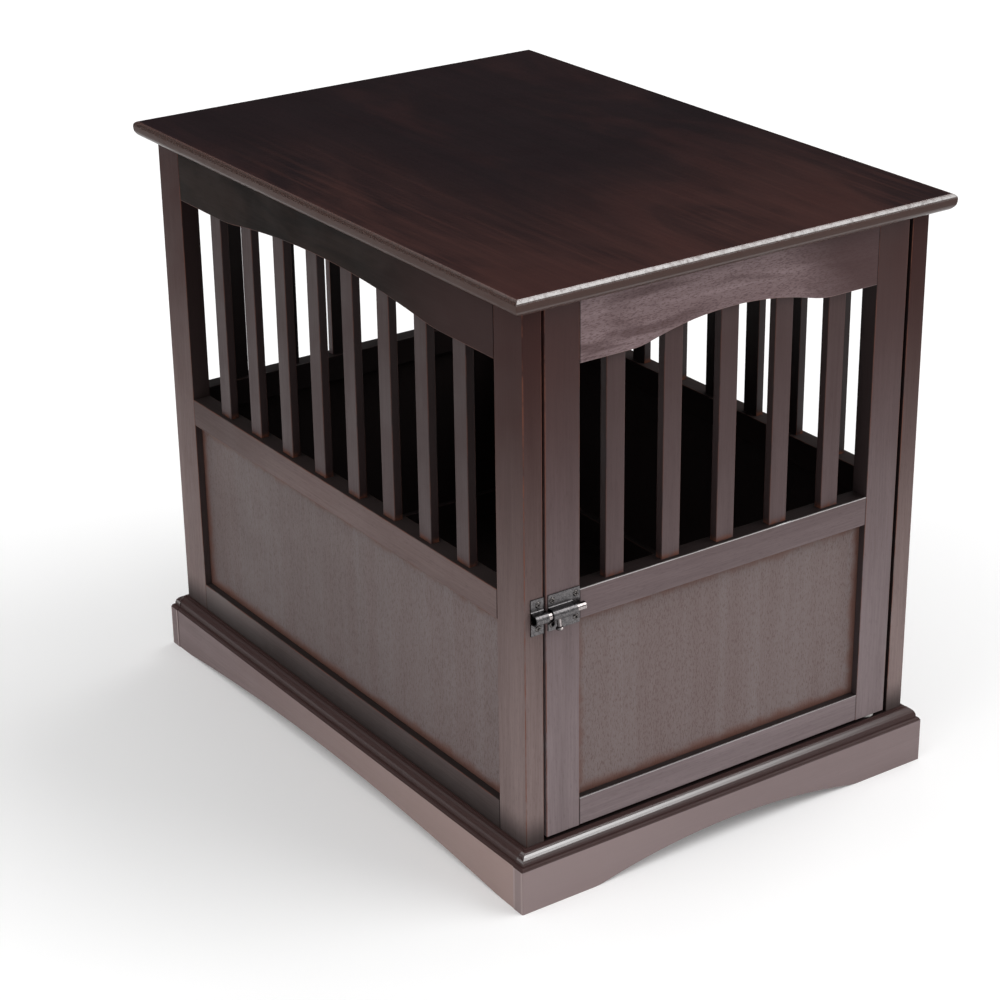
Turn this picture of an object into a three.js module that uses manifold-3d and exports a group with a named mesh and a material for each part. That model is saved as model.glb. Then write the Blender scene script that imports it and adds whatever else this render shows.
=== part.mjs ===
// Dog crate end table: a moulded table top on a slatted wooden crate, with a skirted base,
// a door that turns on two pivot pins, and a barrel bolt that locks it.
// Units are millimetres. +Z is up and the door faces -Y. The origin is on the floor,
// under the middle of the table top.

import * as THREE from 'three';
import { mergeVertices } from 'three/addons/utils/BufferGeometryUtils.js';
import Module from 'manifold-3d';

const solids = await Module();
solids.setup();

// ---------------------------------------------------------------------------------------
// Driving dimensions
// ---------------------------------------------------------------------------------------

// Table top
const topWidth = 508;
const topLength = 698.5;
const overallHeight = 609.6;
const topThickness = 17;
const topOverhang = 18.5;          // from the nose of the top to the outer faces of the frames
const topCornerRadius = 1.2;
const noseRadius = 5.8;            // upper round of the edge
const underRoundWidth = 10;        // lower round, from the tip of the nose in to the flat underside

// Stock and fits
const frameThickness = 20.5;
const arrisRadius = 0.9;           // eased long edges of every board
const seam = 0.25;                 // glue lines, and the fit of what sits in a groove or a mortise

// Rails, panels and slats
const sideStileWidth = 43.5;
const doorStileWidth = 38;
const middleRailTop = 312;
const middleRailHeight = 30;
const sideBottomRailTop = 91;
const doorBottomRailTop = 93;
const hiddenRailBottom = 30;       // underside of the bottom rails and the sill, behind the skirts
const sideTopRailHeight = 57.1;
const doorTopRailHeight = 59.6;
const panelThickness = 4.8;
const panelRecess = 8;             // from the outer face of a frame to the face of its panel
const grooveDepth = 6;
const slatWidth = 20.8;
const slatThickness = 9.3;
const slatArrisRadius = 0.8;
const mortiseDepth = 8;
const sideSlatCount = 8;
const sideSlatMargin = 52.5;       // from a side frame's stile to its first slat
const doorSlatCount = 5;
const doorSlatMargin = 33.4;
const backSlatCount = 6;
const backSlatMargin = 43.3;

// Arches under the top rails: rise, level stretch next to the stile, radius of the foot curve
const sideArch = { rise: 14.7, shoulder: 80, footRadius: 260 };
const doorArch = { rise: 16.5, shoulder: 53, footRadius: 100 };
const backArch = { rise: 16.5, shoulder: 64, footRadius: 160 };

// Skirted base
const skirtHeight = 60.6;
const skirtProjection = 15.1;      // from the outer faces of the frames to the face of the skirts
const skirtCornerRadius = 1.5;
const endBoardStep = 0.6;          // how far the ends of the front and back boards stand out
const frontSkirtArch = { rise: 18.3, shoulder: 82, footRadius: 60 };
const sideSkirtArch = { rise: 15.4, shoulder: 20, footRadius: 350 };
const ledgeWidth = 2.6;            // level top of the skirt in front of a frame
const ledgeStep = 1.3;             // small drop from the ledge to the ovolo
const ovoloWidth = 8.6;
const ovoloHeight = 9.4;
const quirkDepth = 1.0;            // small upright step under the ovolo
const beadRadius = 2.2;
const beadFillet = 0.9;            // small step between the bead and the face

// Floor and sill
const floorThickness = 12;
const cleatSize = 18;

// Door and its pivots
const latchSideGap = 3;
const hingeSideGap = 4;
const doorBottomGap = 3.4;
const doorTopGap = 2.5;
const pivotSetback = 16;           // from the hinge edge of the door to the pivot axis
const pinRadius = 3;
const pinFit = 0.3;
const pinDepthInDoor = 18;
const pinDepthInSill = 15;
const pinDepthInTop = 12;
const washerRadius = 9;
const stopThickness = 14;
const stopDepth = 16;
const stopHeight = 60;
const stopBottom = 330;

// Barrel bolt
const latchDrop = 14;              // from the top of the middle rails down to the bolt axis
const sheetThickness = 1.2;
const boltRadius = 4;
const boltFit = 0.35;
const boltLength = 50;
const boltThrow = 12;              // how far the bolt reaches past the end of its barrel, and its travel
const bendRadius = 1.5;
const latchPlateWidth = 35;
const latchPlateHeight = 36;
const latchPlateInset = 2;         // from the door's latch edge to the plate
const barrelLength = 26.7;
const slotClearance = 0.6;
const slotWall = 5;                // barrel left between its latch end and the slot
const knobTilt = 10;               // degrees the knob leans forward from straight down
const knobStemRadius = 2.2;
const knobSeatDepth = 2.2;
const knobHeadRadius = 3.8;
const knobHeadHeight = 4.8;
const knobReach = 16.5;            // from the bolt axis to the end of the knob
const keeperWidth = 13.8;
const keeperInset = 0.4;           // from the inner edge of the post to the keeper

// Facets
const arrisDivisions = 1;
const archDivisions = 8;
const turnedDivisions = 24;

// ---------------------------------------------------------------------------------------
// Places worked out from the driving dimensions
// ---------------------------------------------------------------------------------------

const carcassHalfWidth = topWidth / 2 - topOverhang;
const carcassHalfLength = topLength / 2 - topOverhang;
const frontFace = -carcassHalfLength;
const frameTop = overallHeight - topThickness;
const innerHalfWidth = carcassHalfWidth - frameThickness;
const innerHalfLength = carcassHalfLength - frameThickness;
const baseWidth = 2 * (carcassHalfWidth + skirtProjection);
const baseLength = 2 * (carcassHalfLength + skirtProjection);
const doorLeft = -innerHalfWidth + latchSideGap;
const doorRight = innerHalfWidth - hingeSideGap;
const doorWidth = doorRight - doorLeft;
const doorCentre = (doorLeft + doorRight) / 2;
const doorBottom = skirtHeight + doorBottomGap;
const doorTop = frameTop - doorTopGap;
const pivotX = doorRight - pivotSetback;
const pivotY = frontFace + frameThickness / 2;
const middleRailBottom = middleRailTop - middleRailHeight;
const latchHeight = middleRailTop - latchDrop;
const boltAxisDepth = sheetThickness + boltFit + boltRadius;
const boltAxisY = frontFace - boltAxisDepth;
const barrelStart = doorLeft + latchPlateInset;
const boltStart = barrelStart - boltThrow;
const knobX = barrelStart + slotWall + slotClearance + knobStemRadius;

// ---------------------------------------------------------------------------------------
// Solids
// ---------------------------------------------------------------------------------------

// A closed solid from a three.js geometry, without the empty triangles at a lathe's poles.
function toSolid(geometry) {
  const bare = geometry.clone();
  bare.deleteAttribute('normal');
  bare.deleteAttribute('uv');
  const merged = mergeVertices(bare, 1e-4);
  const corners = [];
  for (let i = 0; i < merged.index.count; i += 3) {
    const [a, b, c] = [0, 1, 2].map((k) => merged.index.getX(i + k));
    if (a !== b && b !== c && c !== a) corners.push(a, b, c);
  }
  return new solids.Manifold(new solids.Mesh({
    numProp: 3,
    vertProperties: Float32Array.from(merged.attributes.position.array),
    triVerts: Uint32Array.from(corners),
  }));
}

function toGeometry(solid) {
  const { vertProperties, triVerts } = solid.getMesh();
  const indexed = new THREE.BufferGeometry();
  indexed.setAttribute('position', new THREE.BufferAttribute(Float32Array.from(vertProperties), 3));
  indexed.setIndex(new THREE.BufferAttribute(Uint32Array.from(triVerts), 1));
  const faceted = indexed.toNonIndexed();
  faceted.computeVertexNormals();
  return faceted;
}

// A rectangle with round corners, centred on the origin.
function roundedOutline(width, height, radius) {
  const x = width / 2 - radius;
  const y = height / 2 - radius;
  const outline = new THREE.Shape();
  outline.absarc(x, y, radius, 0, Math.PI / 2);
  outline.absarc(-x, y, radius, Math.PI / 2, Math.PI);
  outline.absarc(-x, -y, radius, Math.PI, 1.5 * Math.PI);
  outline.absarc(x, -y, radius, 1.5 * Math.PI, 2 * Math.PI);
  return outline;
}

// Turns an extrusion along Z into one along X. Its outline's X becomes Y, and its Y becomes Z.
function alongX(geometry) {
  const turn = new THREE.Matrix4();
  turn.makeBasis(new THREE.Vector3(0, 1, 0), new THREE.Vector3(0, 0, 1), new THREE.Vector3(1, 0, 0));
  return geometry.applyMatrix4(turn);
}

// Stands an extrusion up, so that its outline lies in X and Z and it runs towards -Y.
function upright(geometry) {
  const turn = new THREE.Matrix4();
  turn.makeBasis(new THREE.Vector3(1, 0, 0), new THREE.Vector3(0, 0, 1), new THREE.Vector3(0, -1, 0));
  return geometry.applyMatrix4(turn);
}

function block(low, high) {
  const size = high.map((value, axis) => value - low[axis]);
  const geometry = new THREE.BoxGeometry(...size);
  geometry.translate(...low.map((value, axis) => value + size[axis] / 2));
  return toSolid(geometry);
}

// A post: its eased section stands on the rectangle from lowX, lowY to highX, highY.
function post(lowX, lowY, highX, highY, bottom, top, radius = arrisRadius) {
  const outline = roundedOutline(highX - lowX, highY - lowY, radius);
  const geometry = new THREE.ExtrudeGeometry(outline, {
    depth: top - bottom, bevelEnabled: false, curveSegments: arrisDivisions,
  });
  geometry.translate((lowX + highX) / 2, (lowY + highY) / 2, bottom);
  return toSolid(geometry);
}

// A rail along X: its eased section is the rectangle from lowY, bottom to highY, top.
function rail(lowX, highX, lowY, highY, bottom, top, radius = arrisRadius) {
  const outline = roundedOutline(highY - lowY, top - bottom, radius);
  const geometry = alongX(new THREE.ExtrudeGeometry(outline, {
    depth: highX - lowX, bevelEnabled: false, curveSegments: arrisDivisions,
  }));
  geometry.translate(lowX, (lowY + highY) / 2, (bottom + top) / 2);
  return toSolid(geometry);
}

// Draws an arch of three tangent arcs from -halfSpan to +halfSpan, from the level `spring` up.
function drawArch(outline, halfSpan, spring, rise, footRadius) {
  const centreDistance = (halfSpan ** 2 + rise ** 2) / (2 * rise);
  const crownRadius = centreDistance - footRadius;
  const angle = Math.atan2(centreDistance - rise, halfSpan);
  outline.absarc(-halfSpan, spring + footRadius, footRadius, -Math.PI / 2, -angle);
  outline.absarc(0, spring + rise - crownRadius, crownRadius, Math.PI - angle, angle, true);
  outline.absarc(halfSpan, spring + footRadius, footRadius, Math.PI + angle, 1.5 * Math.PI);
}

// The space under an arched skirt, from below the floor line up to the arch.
function archCutter(halfSpan, arch, lowY, highY) {
  const below = -arch.rise;
  const outline = new THREE.Shape();
  outline.moveTo(-halfSpan, below);
  drawArch(outline, halfSpan, 0, arch.rise, arch.footRadius);
  outline.lineTo(halfSpan, below);
  const geometry = upright(new THREE.ExtrudeGeometry(outline, {
    depth: highY - lowY, bevelEnabled: false, curveSegments: archDivisions,
  }));
  geometry.translate(0, highY, 0);
  return toSolid(geometry);
}

// A rail along X with an arched underside and eased edges, square at its two ends.
function archedRail(halfLength, thickness, bottom, top, arch) {
  const spare = 2 * arrisRadius;
  const halfSpan = halfLength - arch.shoulder;
  const outline = new THREE.Shape();
  outline.moveTo(-halfLength - spare, top);
  outline.lineTo(-halfLength - spare, bottom);
  drawArch(outline, halfSpan, bottom, arch.rise, arch.footRadius);
  outline.lineTo(halfLength + spare, bottom);
  outline.lineTo(halfLength + spare, top);
  outline.closePath();
  const geometry = upright(new THREE.ExtrudeGeometry(outline, {
    depth: thickness - 2 * arrisRadius,
    bevelThickness: arrisRadius,
    bevelSize: arrisRadius,
    bevelOffset: -arrisRadius,
    bevelSegments: 2,
    curveSegments: archDivisions,
  }));
  geometry.translate(0, thickness - arrisRadius, 0);
  const ends = block([-halfLength, -spare, bottom - spare], [halfLength, thickness + spare, top + spare]);
  return toSolid(geometry).intersect(ends);
}

// A rectangular board with round corners and a moulded edge. The profile runs from the underside
// to the top, and each of its points is a distance in from the edge and a height.
function mouldedBoard(width, length, cornerRadius, profile) {
  const tightestRadius = 0.2;
  const cornerDivisions = 2;
  const rings = profile.map(({ inset, z }) => {
    const radius = Math.max(cornerRadius - inset, tightestRadius);
    const outline = roundedOutline(width - 2 * inset, length - 2 * inset, radius);
    return outline.getPoints(cornerDivisions).map((point) => [point.x, point.y, z]);
  });
  const perRing = rings[0].length;
  const positions = rings.flat(2);
  const corners = [];
  for (let ring = 0; ring + 1 < rings.length; ring += 1) {
    for (let i = 0; i < perRing; i += 1) {
      const next = (i + 1) % perRing;
      const [a, b] = [ring * perRing + i, ring * perRing + next];
      corners.push(a, b, b + perRing, a, b + perRing, a + perRing);
    }
  }
  const underside = rings.length * perRing;
  const upperSide = underside + 1;
  positions.push(0, 0, profile[0].z, 0, 0, profile.at(-1).z);
  for (let i = 0; i < perRing; i += 1) {
    const next = (i + 1) % perRing;
    const last = (rings.length - 1) * perRing;
    corners.push(underside, next, i, upperSide, last + i, last + next);
  }
  const geometry = new THREE.BufferGeometry();
  geometry.setAttribute('position', new THREE.Float32BufferAttribute(positions, 3));
  geometry.setIndex(corners);
  return toSolid(geometry);
}

// Points of an elliptic arc in a moulding's profile, between two angles in degrees.
function profileArc(centreInset, centreZ, acrossRadius, upRadius, fromDegrees, toDegrees, steps) {
  const points = [];
  for (let step = 0; step <= steps; step += 1) {
    const angle = THREE.MathUtils.degToRad(fromDegrees + ((toDegrees - fromDegrees) * step) / steps);
    points.push({
      inset: centreInset - acrossRadius * Math.cos(angle),
      z: centreZ + upRadius * Math.sin(angle),
    });
  }
  return points;
}

// A solid turned about the Z axis from radius and height pairs.
function turned(profile, divisions = turnedDivisions) {
  const points = profile.map(([radius, height]) => new THREE.Vector2(radius, height));
  const geometry = new THREE.LatheGeometry(points, divisions);
  geometry.rotateX(Math.PI / 2);
  return toSolid(geometry);
}

function upwardCylinder(x, y, bottom, top, radius) {
  const length = top - bottom;
  return turned([[0, 0], [radius, 0], [radius, length], [0, length]]).translate(x, y, bottom);
}

// ---------------------------------------------------------------------------------------
// Finishes
// ---------------------------------------------------------------------------------------

const finishes = {
  tableTop: { color: 0x351f1d, roughness: 0.38, metalness: 0 },
  frame: { color: 0x54433f, roughness: 0.5, metalness: 0 },
  slat: { color: 0x4c3a37, roughness: 0.5, metalness: 0 },
  panel: { color: 0x574743, roughness: 0.6, metalness: 0 },
  skirt: { color: 0x5a4946, roughness: 0.45, metalness: 0 },
  hidden: { color: 0x2a1f1e, roughness: 0.7, metalness: 0 },
  pewter: { color: 0x5b5657, roughness: 0.35, metalness: 1 },
  steel: { color: 0x9b9b9d, roughness: 0.35, metalness: 1 },
  nylon: { color: 0xe8e6e0, roughness: 0.5, metalness: 0 },
};

function piece(name, finish, solid) {
  const mesh = new THREE.Mesh(toGeometry(solid), new THREE.MeshStandardMaterial(finishes[finish]));
  mesh.name = name;
  return mesh;
}

// ---------------------------------------------------------------------------------------
// Slatted frames. A frame is drawn flat: its outer face is at Y 0, its thickness runs to +Y, and
// its middle is at X 0. The frame's group then stands it in its place.
// ---------------------------------------------------------------------------------------

const grooveLow = panelRecess - seam;
const grooveHigh = panelRecess + panelThickness + seam;
const slatLow = (frameThickness - slatThickness) / 2;
const slatHigh = (frameThickness + slatThickness) / 2;

function slatCentres(openingHalfWidth, count, margin) {
  const first = -openingHalfWidth + margin + slatWidth / 2;
  const pitch = (-2 * first) / (count - 1);
  return Array.from({ length: count }, (_, i) => first + i * pitch);
}

// A slat, or with room around it the mortise that takes its end.
function slat(centre, bottom, top, room = 0) {
  const half = slatWidth / 2 + room;
  if (room > 0) {
    return block([centre - half, slatLow - room, bottom], [centre + half, slatHigh + room, top]);
  }
  return post(centre - half, slatLow, centre + half, slatHigh, bottom, top, slatArrisRadius);
}

function frameHeights(spec) {
  const topRailBottom = spec.top - spec.topRailHeight;
  return {
    topRailBottom,
    slatFoot: middleRailTop - mortiseDepth,
    slatHead: topRailBottom + spec.arch.rise + mortiseDepth,
  };
}

function archedTopRail(spec) {
  const { topRailBottom, slatHead } = frameHeights(spec);
  let solid = archedRail(spec.openingHalf - seam, frameThickness, topRailBottom, spec.top, spec.arch);
  for (const centre of spec.slats) {
    solid = solid.subtract(slat(centre, topRailBottom - mortiseDepth, slatHead + seam, seam));
  }
  return solid;
}

function slottedMiddleRail(spec) {
  const half = spec.openingHalf - seam;
  const { slatFoot } = frameHeights(spec);
  const groove = block(
    [-half - grooveDepth, grooveLow, middleRailBottom - grooveDepth],
    [half + grooveDepth, grooveHigh, middleRailBottom + grooveDepth],
  );
  let solid = rail(-half, half, 0, frameThickness, middleRailBottom, middleRailTop).subtract(groove);
  for (const centre of spec.slats) {
    solid = solid.subtract(slat(centre, slatFoot - seam, middleRailTop + mortiseDepth, seam));
  }
  return solid;
}

function groovedBottomRail(spec) {
  const half = spec.openingHalf - seam;
  const groove = block(
    [-half - grooveDepth, grooveLow, spec.bottomRailTop - grooveDepth],
    [half + grooveDepth, grooveHigh, spec.bottomRailTop + grooveDepth],
  );
  const board = rail(-half, half, 0, frameThickness, spec.bottomRailBottom, spec.bottomRailTop);
  return board.subtract(groove);
}

function stile(spec, side) {
  const [near, far] = [spec.openingHalf, spec.openingHalf + spec.stileWidth].map((x) => side * x);
  const board = post(Math.min(near, far), 0, Math.max(near, far), frameThickness, spec.bottom, spec.top);
  const groove = block(
    [Math.min(0, side * (spec.openingHalf + grooveDepth)), grooveLow, spec.bottomRailTop - grooveDepth],
    [Math.max(0, side * (spec.openingHalf + grooveDepth)), grooveHigh, middleRailBottom + grooveDepth],
  );
  return board.subtract(groove);
}

function framePanel(spec) {
  const reach = grooveDepth - seam;
  return block(
    [-spec.panelHalf - reach, panelRecess, spec.bottomRailTop - reach],
    [spec.panelHalf + reach, panelRecess + panelThickness, middleRailBottom + reach],
  );
}

function slatSolids(spec) {
  const { slatFoot, slatHead } = frameHeights(spec);
  return spec.slats.map((centre) => slat(centre, slatFoot, slatHead));
}

// Stands a flat frame with its outer face at a distance from the middle, turned about Z.
function stand(pieces, quarterTurns, x, y) {
  const group = new THREE.Group();
  group.add(...pieces);
  group.rotation.z = (quarterTurns * Math.PI) / 2;
  group.position.set(x, y, 0);
  return group;
}

const sideOpeningHalf = carcassHalfLength - sideStileWidth;
const sideSpec = {
  openingHalf: sideOpeningHalf,
  panelHalf: sideOpeningHalf,
  stileWidth: sideStileWidth,
  bottom: 0,
  top: frameTop - seam,
  bottomRailBottom: hiddenRailBottom,
  bottomRailTop: sideBottomRailTop,
  topRailHeight: sideTopRailHeight,
  arch: sideArch,
  slats: slatCentres(sideOpeningHalf, sideSlatCount, sideSlatMargin),
};

// A side frame. `frontSide` is the side of the flat frame that ends up at the door.
function sideFrame(name, frontSide, quarterTurns, x) {
  const slats = slatSolids(sideSpec);
  const fromFront = frontSide < 0 ? slats : slats.toReversed();
  const pieces = [
    piece(`${name}_front_stile`, 'frame', stile(sideSpec, frontSide)),
    piece(`${name}_rear_stile`, 'frame', stile(sideSpec, -frontSide)),
    piece(`${name}_top_rail`, 'frame', archedTopRail(sideSpec)),
    piece(`${name}_middle_rail`, 'frame', slottedMiddleRail(sideSpec)),
    piece(`${name}_bottom_rail`, 'frame', groovedBottomRail(sideSpec)),
    piece(`${name}_panel`, 'panel', framePanel(sideSpec)),
    ...fromFront.map((solid, i) => piece(`${name}_slat_${i + 1}`, 'slat', solid)),
  ];
  return stand(pieces, quarterTurns, x, 0);
}

// The back frame has no stiles of its own: its rails run between the rear stiles of the side
// frames, and its panel ends at them. The slats are one piece with the middle rail here.
const backSpec = {
  openingHalf: innerHalfWidth,
  panelHalf: innerHalfWidth - grooveDepth,
  bottom: hiddenRailBottom,
  top: frameTop - seam,
  bottomRailBottom: hiddenRailBottom,
  bottomRailTop: sideBottomRailTop,
  topRailHeight: sideTopRailHeight,
  arch: backArch,
  slats: slatCentres(innerHalfWidth, backSlatCount, backSlatMargin),
};

function backMiddleRail() {
  const half = backSpec.openingHalf - seam;
  const { slatHead } = frameHeights(backSpec);
  const groove = block(
    [-half - grooveDepth, grooveLow, middleRailBottom - grooveDepth],
    [half + grooveDepth, grooveHigh, middleRailBottom + grooveDepth],
  );
  let solid = rail(-half, half, 0, frameThickness, middleRailBottom, middleRailTop).subtract(groove);
  for (const centre of backSpec.slats) {
    solid = solid.add(slat(centre, middleRailTop - mortiseDepth, slatHead));
  }
  return solid;
}

function backFrame() {
  return stand([
    piece('back_top_rail', 'frame', archedTopRail(backSpec)),
    piece('back_middle_rail', 'frame', backMiddleRail()),
    piece('back_bottom_rail', 'frame', groovedBottomRail(backSpec)),
    piece('back_panel', 'panel', framePanel(backSpec)),
  ], 2, 0, carcassHalfLength);
}

// ---------------------------------------------------------------------------------------
// Door
// ---------------------------------------------------------------------------------------

const doorOpeningHalf = doorWidth / 2 - doorStileWidth;
const doorSpec = {
  openingHalf: doorOpeningHalf,
  panelHalf: doorOpeningHalf,
  stileWidth: doorStileWidth,
  bottom: doorBottom,
  top: doorTop,
  bottomRailBottom: doorBottom,
  bottomRailTop: doorBottomRailTop,
  topRailHeight: doorTopRailHeight,
  arch: doorArch,
  slats: slatCentres(doorOpeningHalf, doorSlatCount, doorSlatMargin),
};

function hingeStile() {
  const x = pivotX - doorCentre;
  const y = frameThickness / 2;
  const room = pinRadius + pinFit;
  const lower = upwardCylinder(x, y, doorBottom - pinDepthInDoor, doorBottom + pinDepthInDoor + pinFit, room);
  const upper = upwardCylinder(x, y, doorTop - pinDepthInDoor - pinFit, doorTop + pinDepthInDoor, room);
  return stile(doorSpec, 1).subtract(lower).subtract(upper);
}

function doorFrame() {
  return stand([
    piece('door_latch_stile', 'frame', stile(doorSpec, -1)),
    piece('door_hinge_stile', 'frame', hingeStile()),
    piece('door_top_rail', 'frame', archedTopRail(doorSpec)),
    piece('door_middle_rail', 'frame', slottedMiddleRail(doorSpec)),
    piece('door_bottom_rail', 'frame', groovedBottomRail(doorSpec)),
    piece('door_panel', 'panel', framePanel(doorSpec)),
    ...slatSolids(doorSpec).map((solid, i) => piece(`door_slat_${i + 1}`, 'slat', solid)),
  ], 0, doorCentre, frontFace);
}

// ---------------------------------------------------------------------------------------
// Pivot pins, washer and stop
// ---------------------------------------------------------------------------------------

function pivotParts() {
  const lowerPin = upwardCylinder(
    pivotX, pivotY, skirtHeight - pinDepthInSill, doorBottom + pinDepthInDoor, pinRadius,
  );
  const upperPin = upwardCylinder(
    pivotX, pivotY, doorTop - pinDepthInDoor, frameTop + pinDepthInTop, pinRadius,
  );
  const washerTop = doorBottom - pinFit;
  const disc = upwardCylinder(pivotX, pivotY, skirtHeight, washerTop, washerRadius);
  const bore = upwardCylinder(pivotX, pivotY, skirtHeight - 1, washerTop + 1, pinRadius + pinFit);
  return [
    piece('lower_pivot_pin', 'steel', lowerPin),
    piece('upper_pivot_pin', 'steel', upperPin),
    piece('pivot_washer', 'nylon', disc.subtract(bore)),
  ];
}

function doorStop() {
  const lowX = -innerHalfWidth + seam;
  const lowY = frontFace + frameThickness + pinFit;
  const board = post(lowX, lowY, lowX + stopThickness, lowY + stopDepth, stopBottom, stopBottom + stopHeight);
  return piece('door_stop', 'hidden', board);
}

// ---------------------------------------------------------------------------------------
// Table top
// ---------------------------------------------------------------------------------------

function tableTop() {
  const tip = overallHeight - noseRadius;
  const profile = [
    ...profileArc(underRoundWidth, tip, underRoundWidth, tip - frameTop, -90, 0, 7),
    ...profileArc(noseRadius, tip, noseRadius, noseRadius, 0, 90, 6).slice(1),
  ];
  const bore = upwardCylinder(
    pivotX, pivotY, frameTop - pinDepthInTop, frameTop + pinDepthInTop + pinFit, pinRadius + pinFit,
  );
  return mouldedBoard(topWidth, topLength, topCornerRadius, profile).subtract(bore);
}

// ---------------------------------------------------------------------------------------
// Skirted base: four boards butted at the corners, with one moulding run round all of them
// ---------------------------------------------------------------------------------------

function skirtProfile() {
  const ovoloInset = skirtProjection - ledgeWidth;
  const ovoloTop = skirtHeight - ledgeStep;
  const ovoloBottom = ovoloTop - ovoloHeight;
  const quirkInset = ovoloInset - ovoloWidth;
  const beadTop = ovoloBottom - quirkDepth;
  const faceTop = beadTop - beadRadius - beadFillet;
  return [
    { inset: 0, z: 0 },
    { inset: 0, z: faceTop },
    { inset: beadFillet, z: faceTop + beadFillet },
    ...profileArc(quirkInset, beadTop - beadRadius, quirkInset - beadFillet, beadRadius, 0, 90, 3),
    { inset: quirkInset, z: ovoloBottom },
    ...profileArc(ovoloInset, ovoloBottom, ovoloWidth, ovoloHeight, 0, 90, 6).slice(1),
    { inset: ovoloInset, z: skirtHeight },
  ];
}

function skirts() {
  const profile = skirtProfile();
  const sideBoards = mouldedBoard(baseWidth, baseLength, skirtCornerRadius, profile);
  const endBoards = mouldedBoard(baseWidth + 2 * endBoardStep, baseLength, skirtCornerRadius, profile);
  const halfWidth = baseWidth / 2;
  const halfLength = baseLength / 2;
  const margin = skirtProjection;
  const sideInner = carcassHalfWidth + seam;
  const frontInner = carcassHalfLength + seam;
  const above = skirtHeight + margin;
  const frontCut = archCutter(halfWidth - frontSkirtArch.shoulder, frontSkirtArch, -halfLength - margin, 0);
  const backCut = frontCut.rotate([0, 0, 180]);
  const flatCut = archCutter(halfLength - sideSkirtArch.shoulder, sideSkirtArch, -halfWidth - margin, 0);
  const leftCut = flatCut.rotate([0, 0, -90]);
  const rightCut = flatCut.rotate([0, 0, 90]);
  const frontBlock = block([-halfWidth - margin, -halfLength - margin, -1], [halfWidth + margin, -frontInner, above]);
  const backBlock = block([-halfWidth - margin, frontInner, -1], [halfWidth + margin, halfLength + margin, above]);
  const sideEnd = frontInner - seam;
  const leftBlock = block([-halfWidth - margin, -sideEnd, -1], [-sideInner, sideEnd, above]);
  const rightBlock = block([sideInner, -sideEnd, -1], [halfWidth + margin, sideEnd, above]);
  return [
    piece('front_skirt', 'skirt', endBoards.intersect(frontBlock).subtract(frontCut)),
    piece('back_skirt', 'skirt', endBoards.intersect(backBlock).subtract(backCut)),
    piece('left_skirt', 'skirt', sideBoards.intersect(leftBlock).subtract(leftCut)),
    piece('right_skirt', 'skirt', sideBoards.intersect(rightBlock).subtract(rightCut)),
  ];
}

// ---------------------------------------------------------------------------------------
// Floor, its cleats and the front sill
// ---------------------------------------------------------------------------------------

function floorParts() {
  const halfWidth = innerHalfWidth - seam;
  const halfLength = innerHalfLength - seam;
  const floorBottom = skirtHeight - floorThickness;
  const cleatTop = floorBottom - seam;
  const cleatBottom = cleatTop - cleatSize;
  const sill = rail(-halfWidth, halfWidth, frontFace, frontFace + frameThickness, hiddenRailBottom, skirtHeight);
  const pinHole = upwardCylinder(
    pivotX, pivotY, skirtHeight - pinDepthInSill - pinFit, skirtHeight + pinFit, pinRadius + pinFit,
  );
  const panel = block([-halfWidth, -halfLength, floorBottom], [halfWidth, halfLength, skirtHeight]);
  return [
    piece('front_sill', 'frame', sill.subtract(pinHole)),
    piece('floor_panel', 'hidden', panel),
    piece('left_floor_cleat', 'hidden', block(
      [-halfWidth, -halfLength, cleatBottom],
      [-halfWidth + cleatSize, halfLength, cleatTop],
    )),
    piece('right_floor_cleat', 'hidden', block(
      [halfWidth - cleatSize, -halfLength, cleatBottom],
      [halfWidth, halfLength, cleatTop],
    )),
  ];
}

// ---------------------------------------------------------------------------------------
// Barrel bolt
// ---------------------------------------------------------------------------------------

// Section of a plate with a half-round loop over the bolt, drawn about the bolt's height, with
// the wood's face at X 0. It is extruded along X from lowX to highX.
function loopedPlate(lowX, highX, plateHeight) {
  const outer = boltRadius + boltFit + sheetThickness;
  const inner = boltRadius + boltFit;
  const bend = sheetThickness + bendRadius;
  const section = new THREE.Shape();
  section.moveTo(0, -plateHeight / 2);
  section.lineTo(0, plateHeight / 2);
  section.lineTo(-sheetThickness, plateHeight / 2);
  section.absarc(-bend, outer + bendRadius, bendRadius, 0, -Math.PI / 2, true);
  section.absarc(-boltAxisDepth, 0, outer, Math.PI / 2, 1.5 * Math.PI);
  section.absarc(-bend, -outer - bendRadius, bendRadius, Math.PI / 2, 0, true);
  section.lineTo(-sheetThickness, -plateHeight / 2);
  const tunnel = new THREE.Path();
  tunnel.moveTo(-sheetThickness, -inner);
  tunnel.lineTo(-sheetThickness, inner);
  tunnel.absarc(-boltAxisDepth, 0, inner, Math.PI / 2, 1.5 * Math.PI);
  section.holes.push(tunnel);
  const geometry = alongX(new THREE.ExtrudeGeometry(section, {
    depth: highX - lowX, bevelEnabled: false, curveSegments: archDivisions,
  }));
  geometry.translate(lowX, frontFace, latchHeight);
  return toSolid(geometry);
}

// Turns a solid that stands on the bolt axis, pointing up, to the side that the knob points to.
function towardsKnob(solid, x) {
  return solid.rotate([180 - knobTilt, 0, 0]).translate(x, boltAxisY, latchHeight);
}

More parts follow.
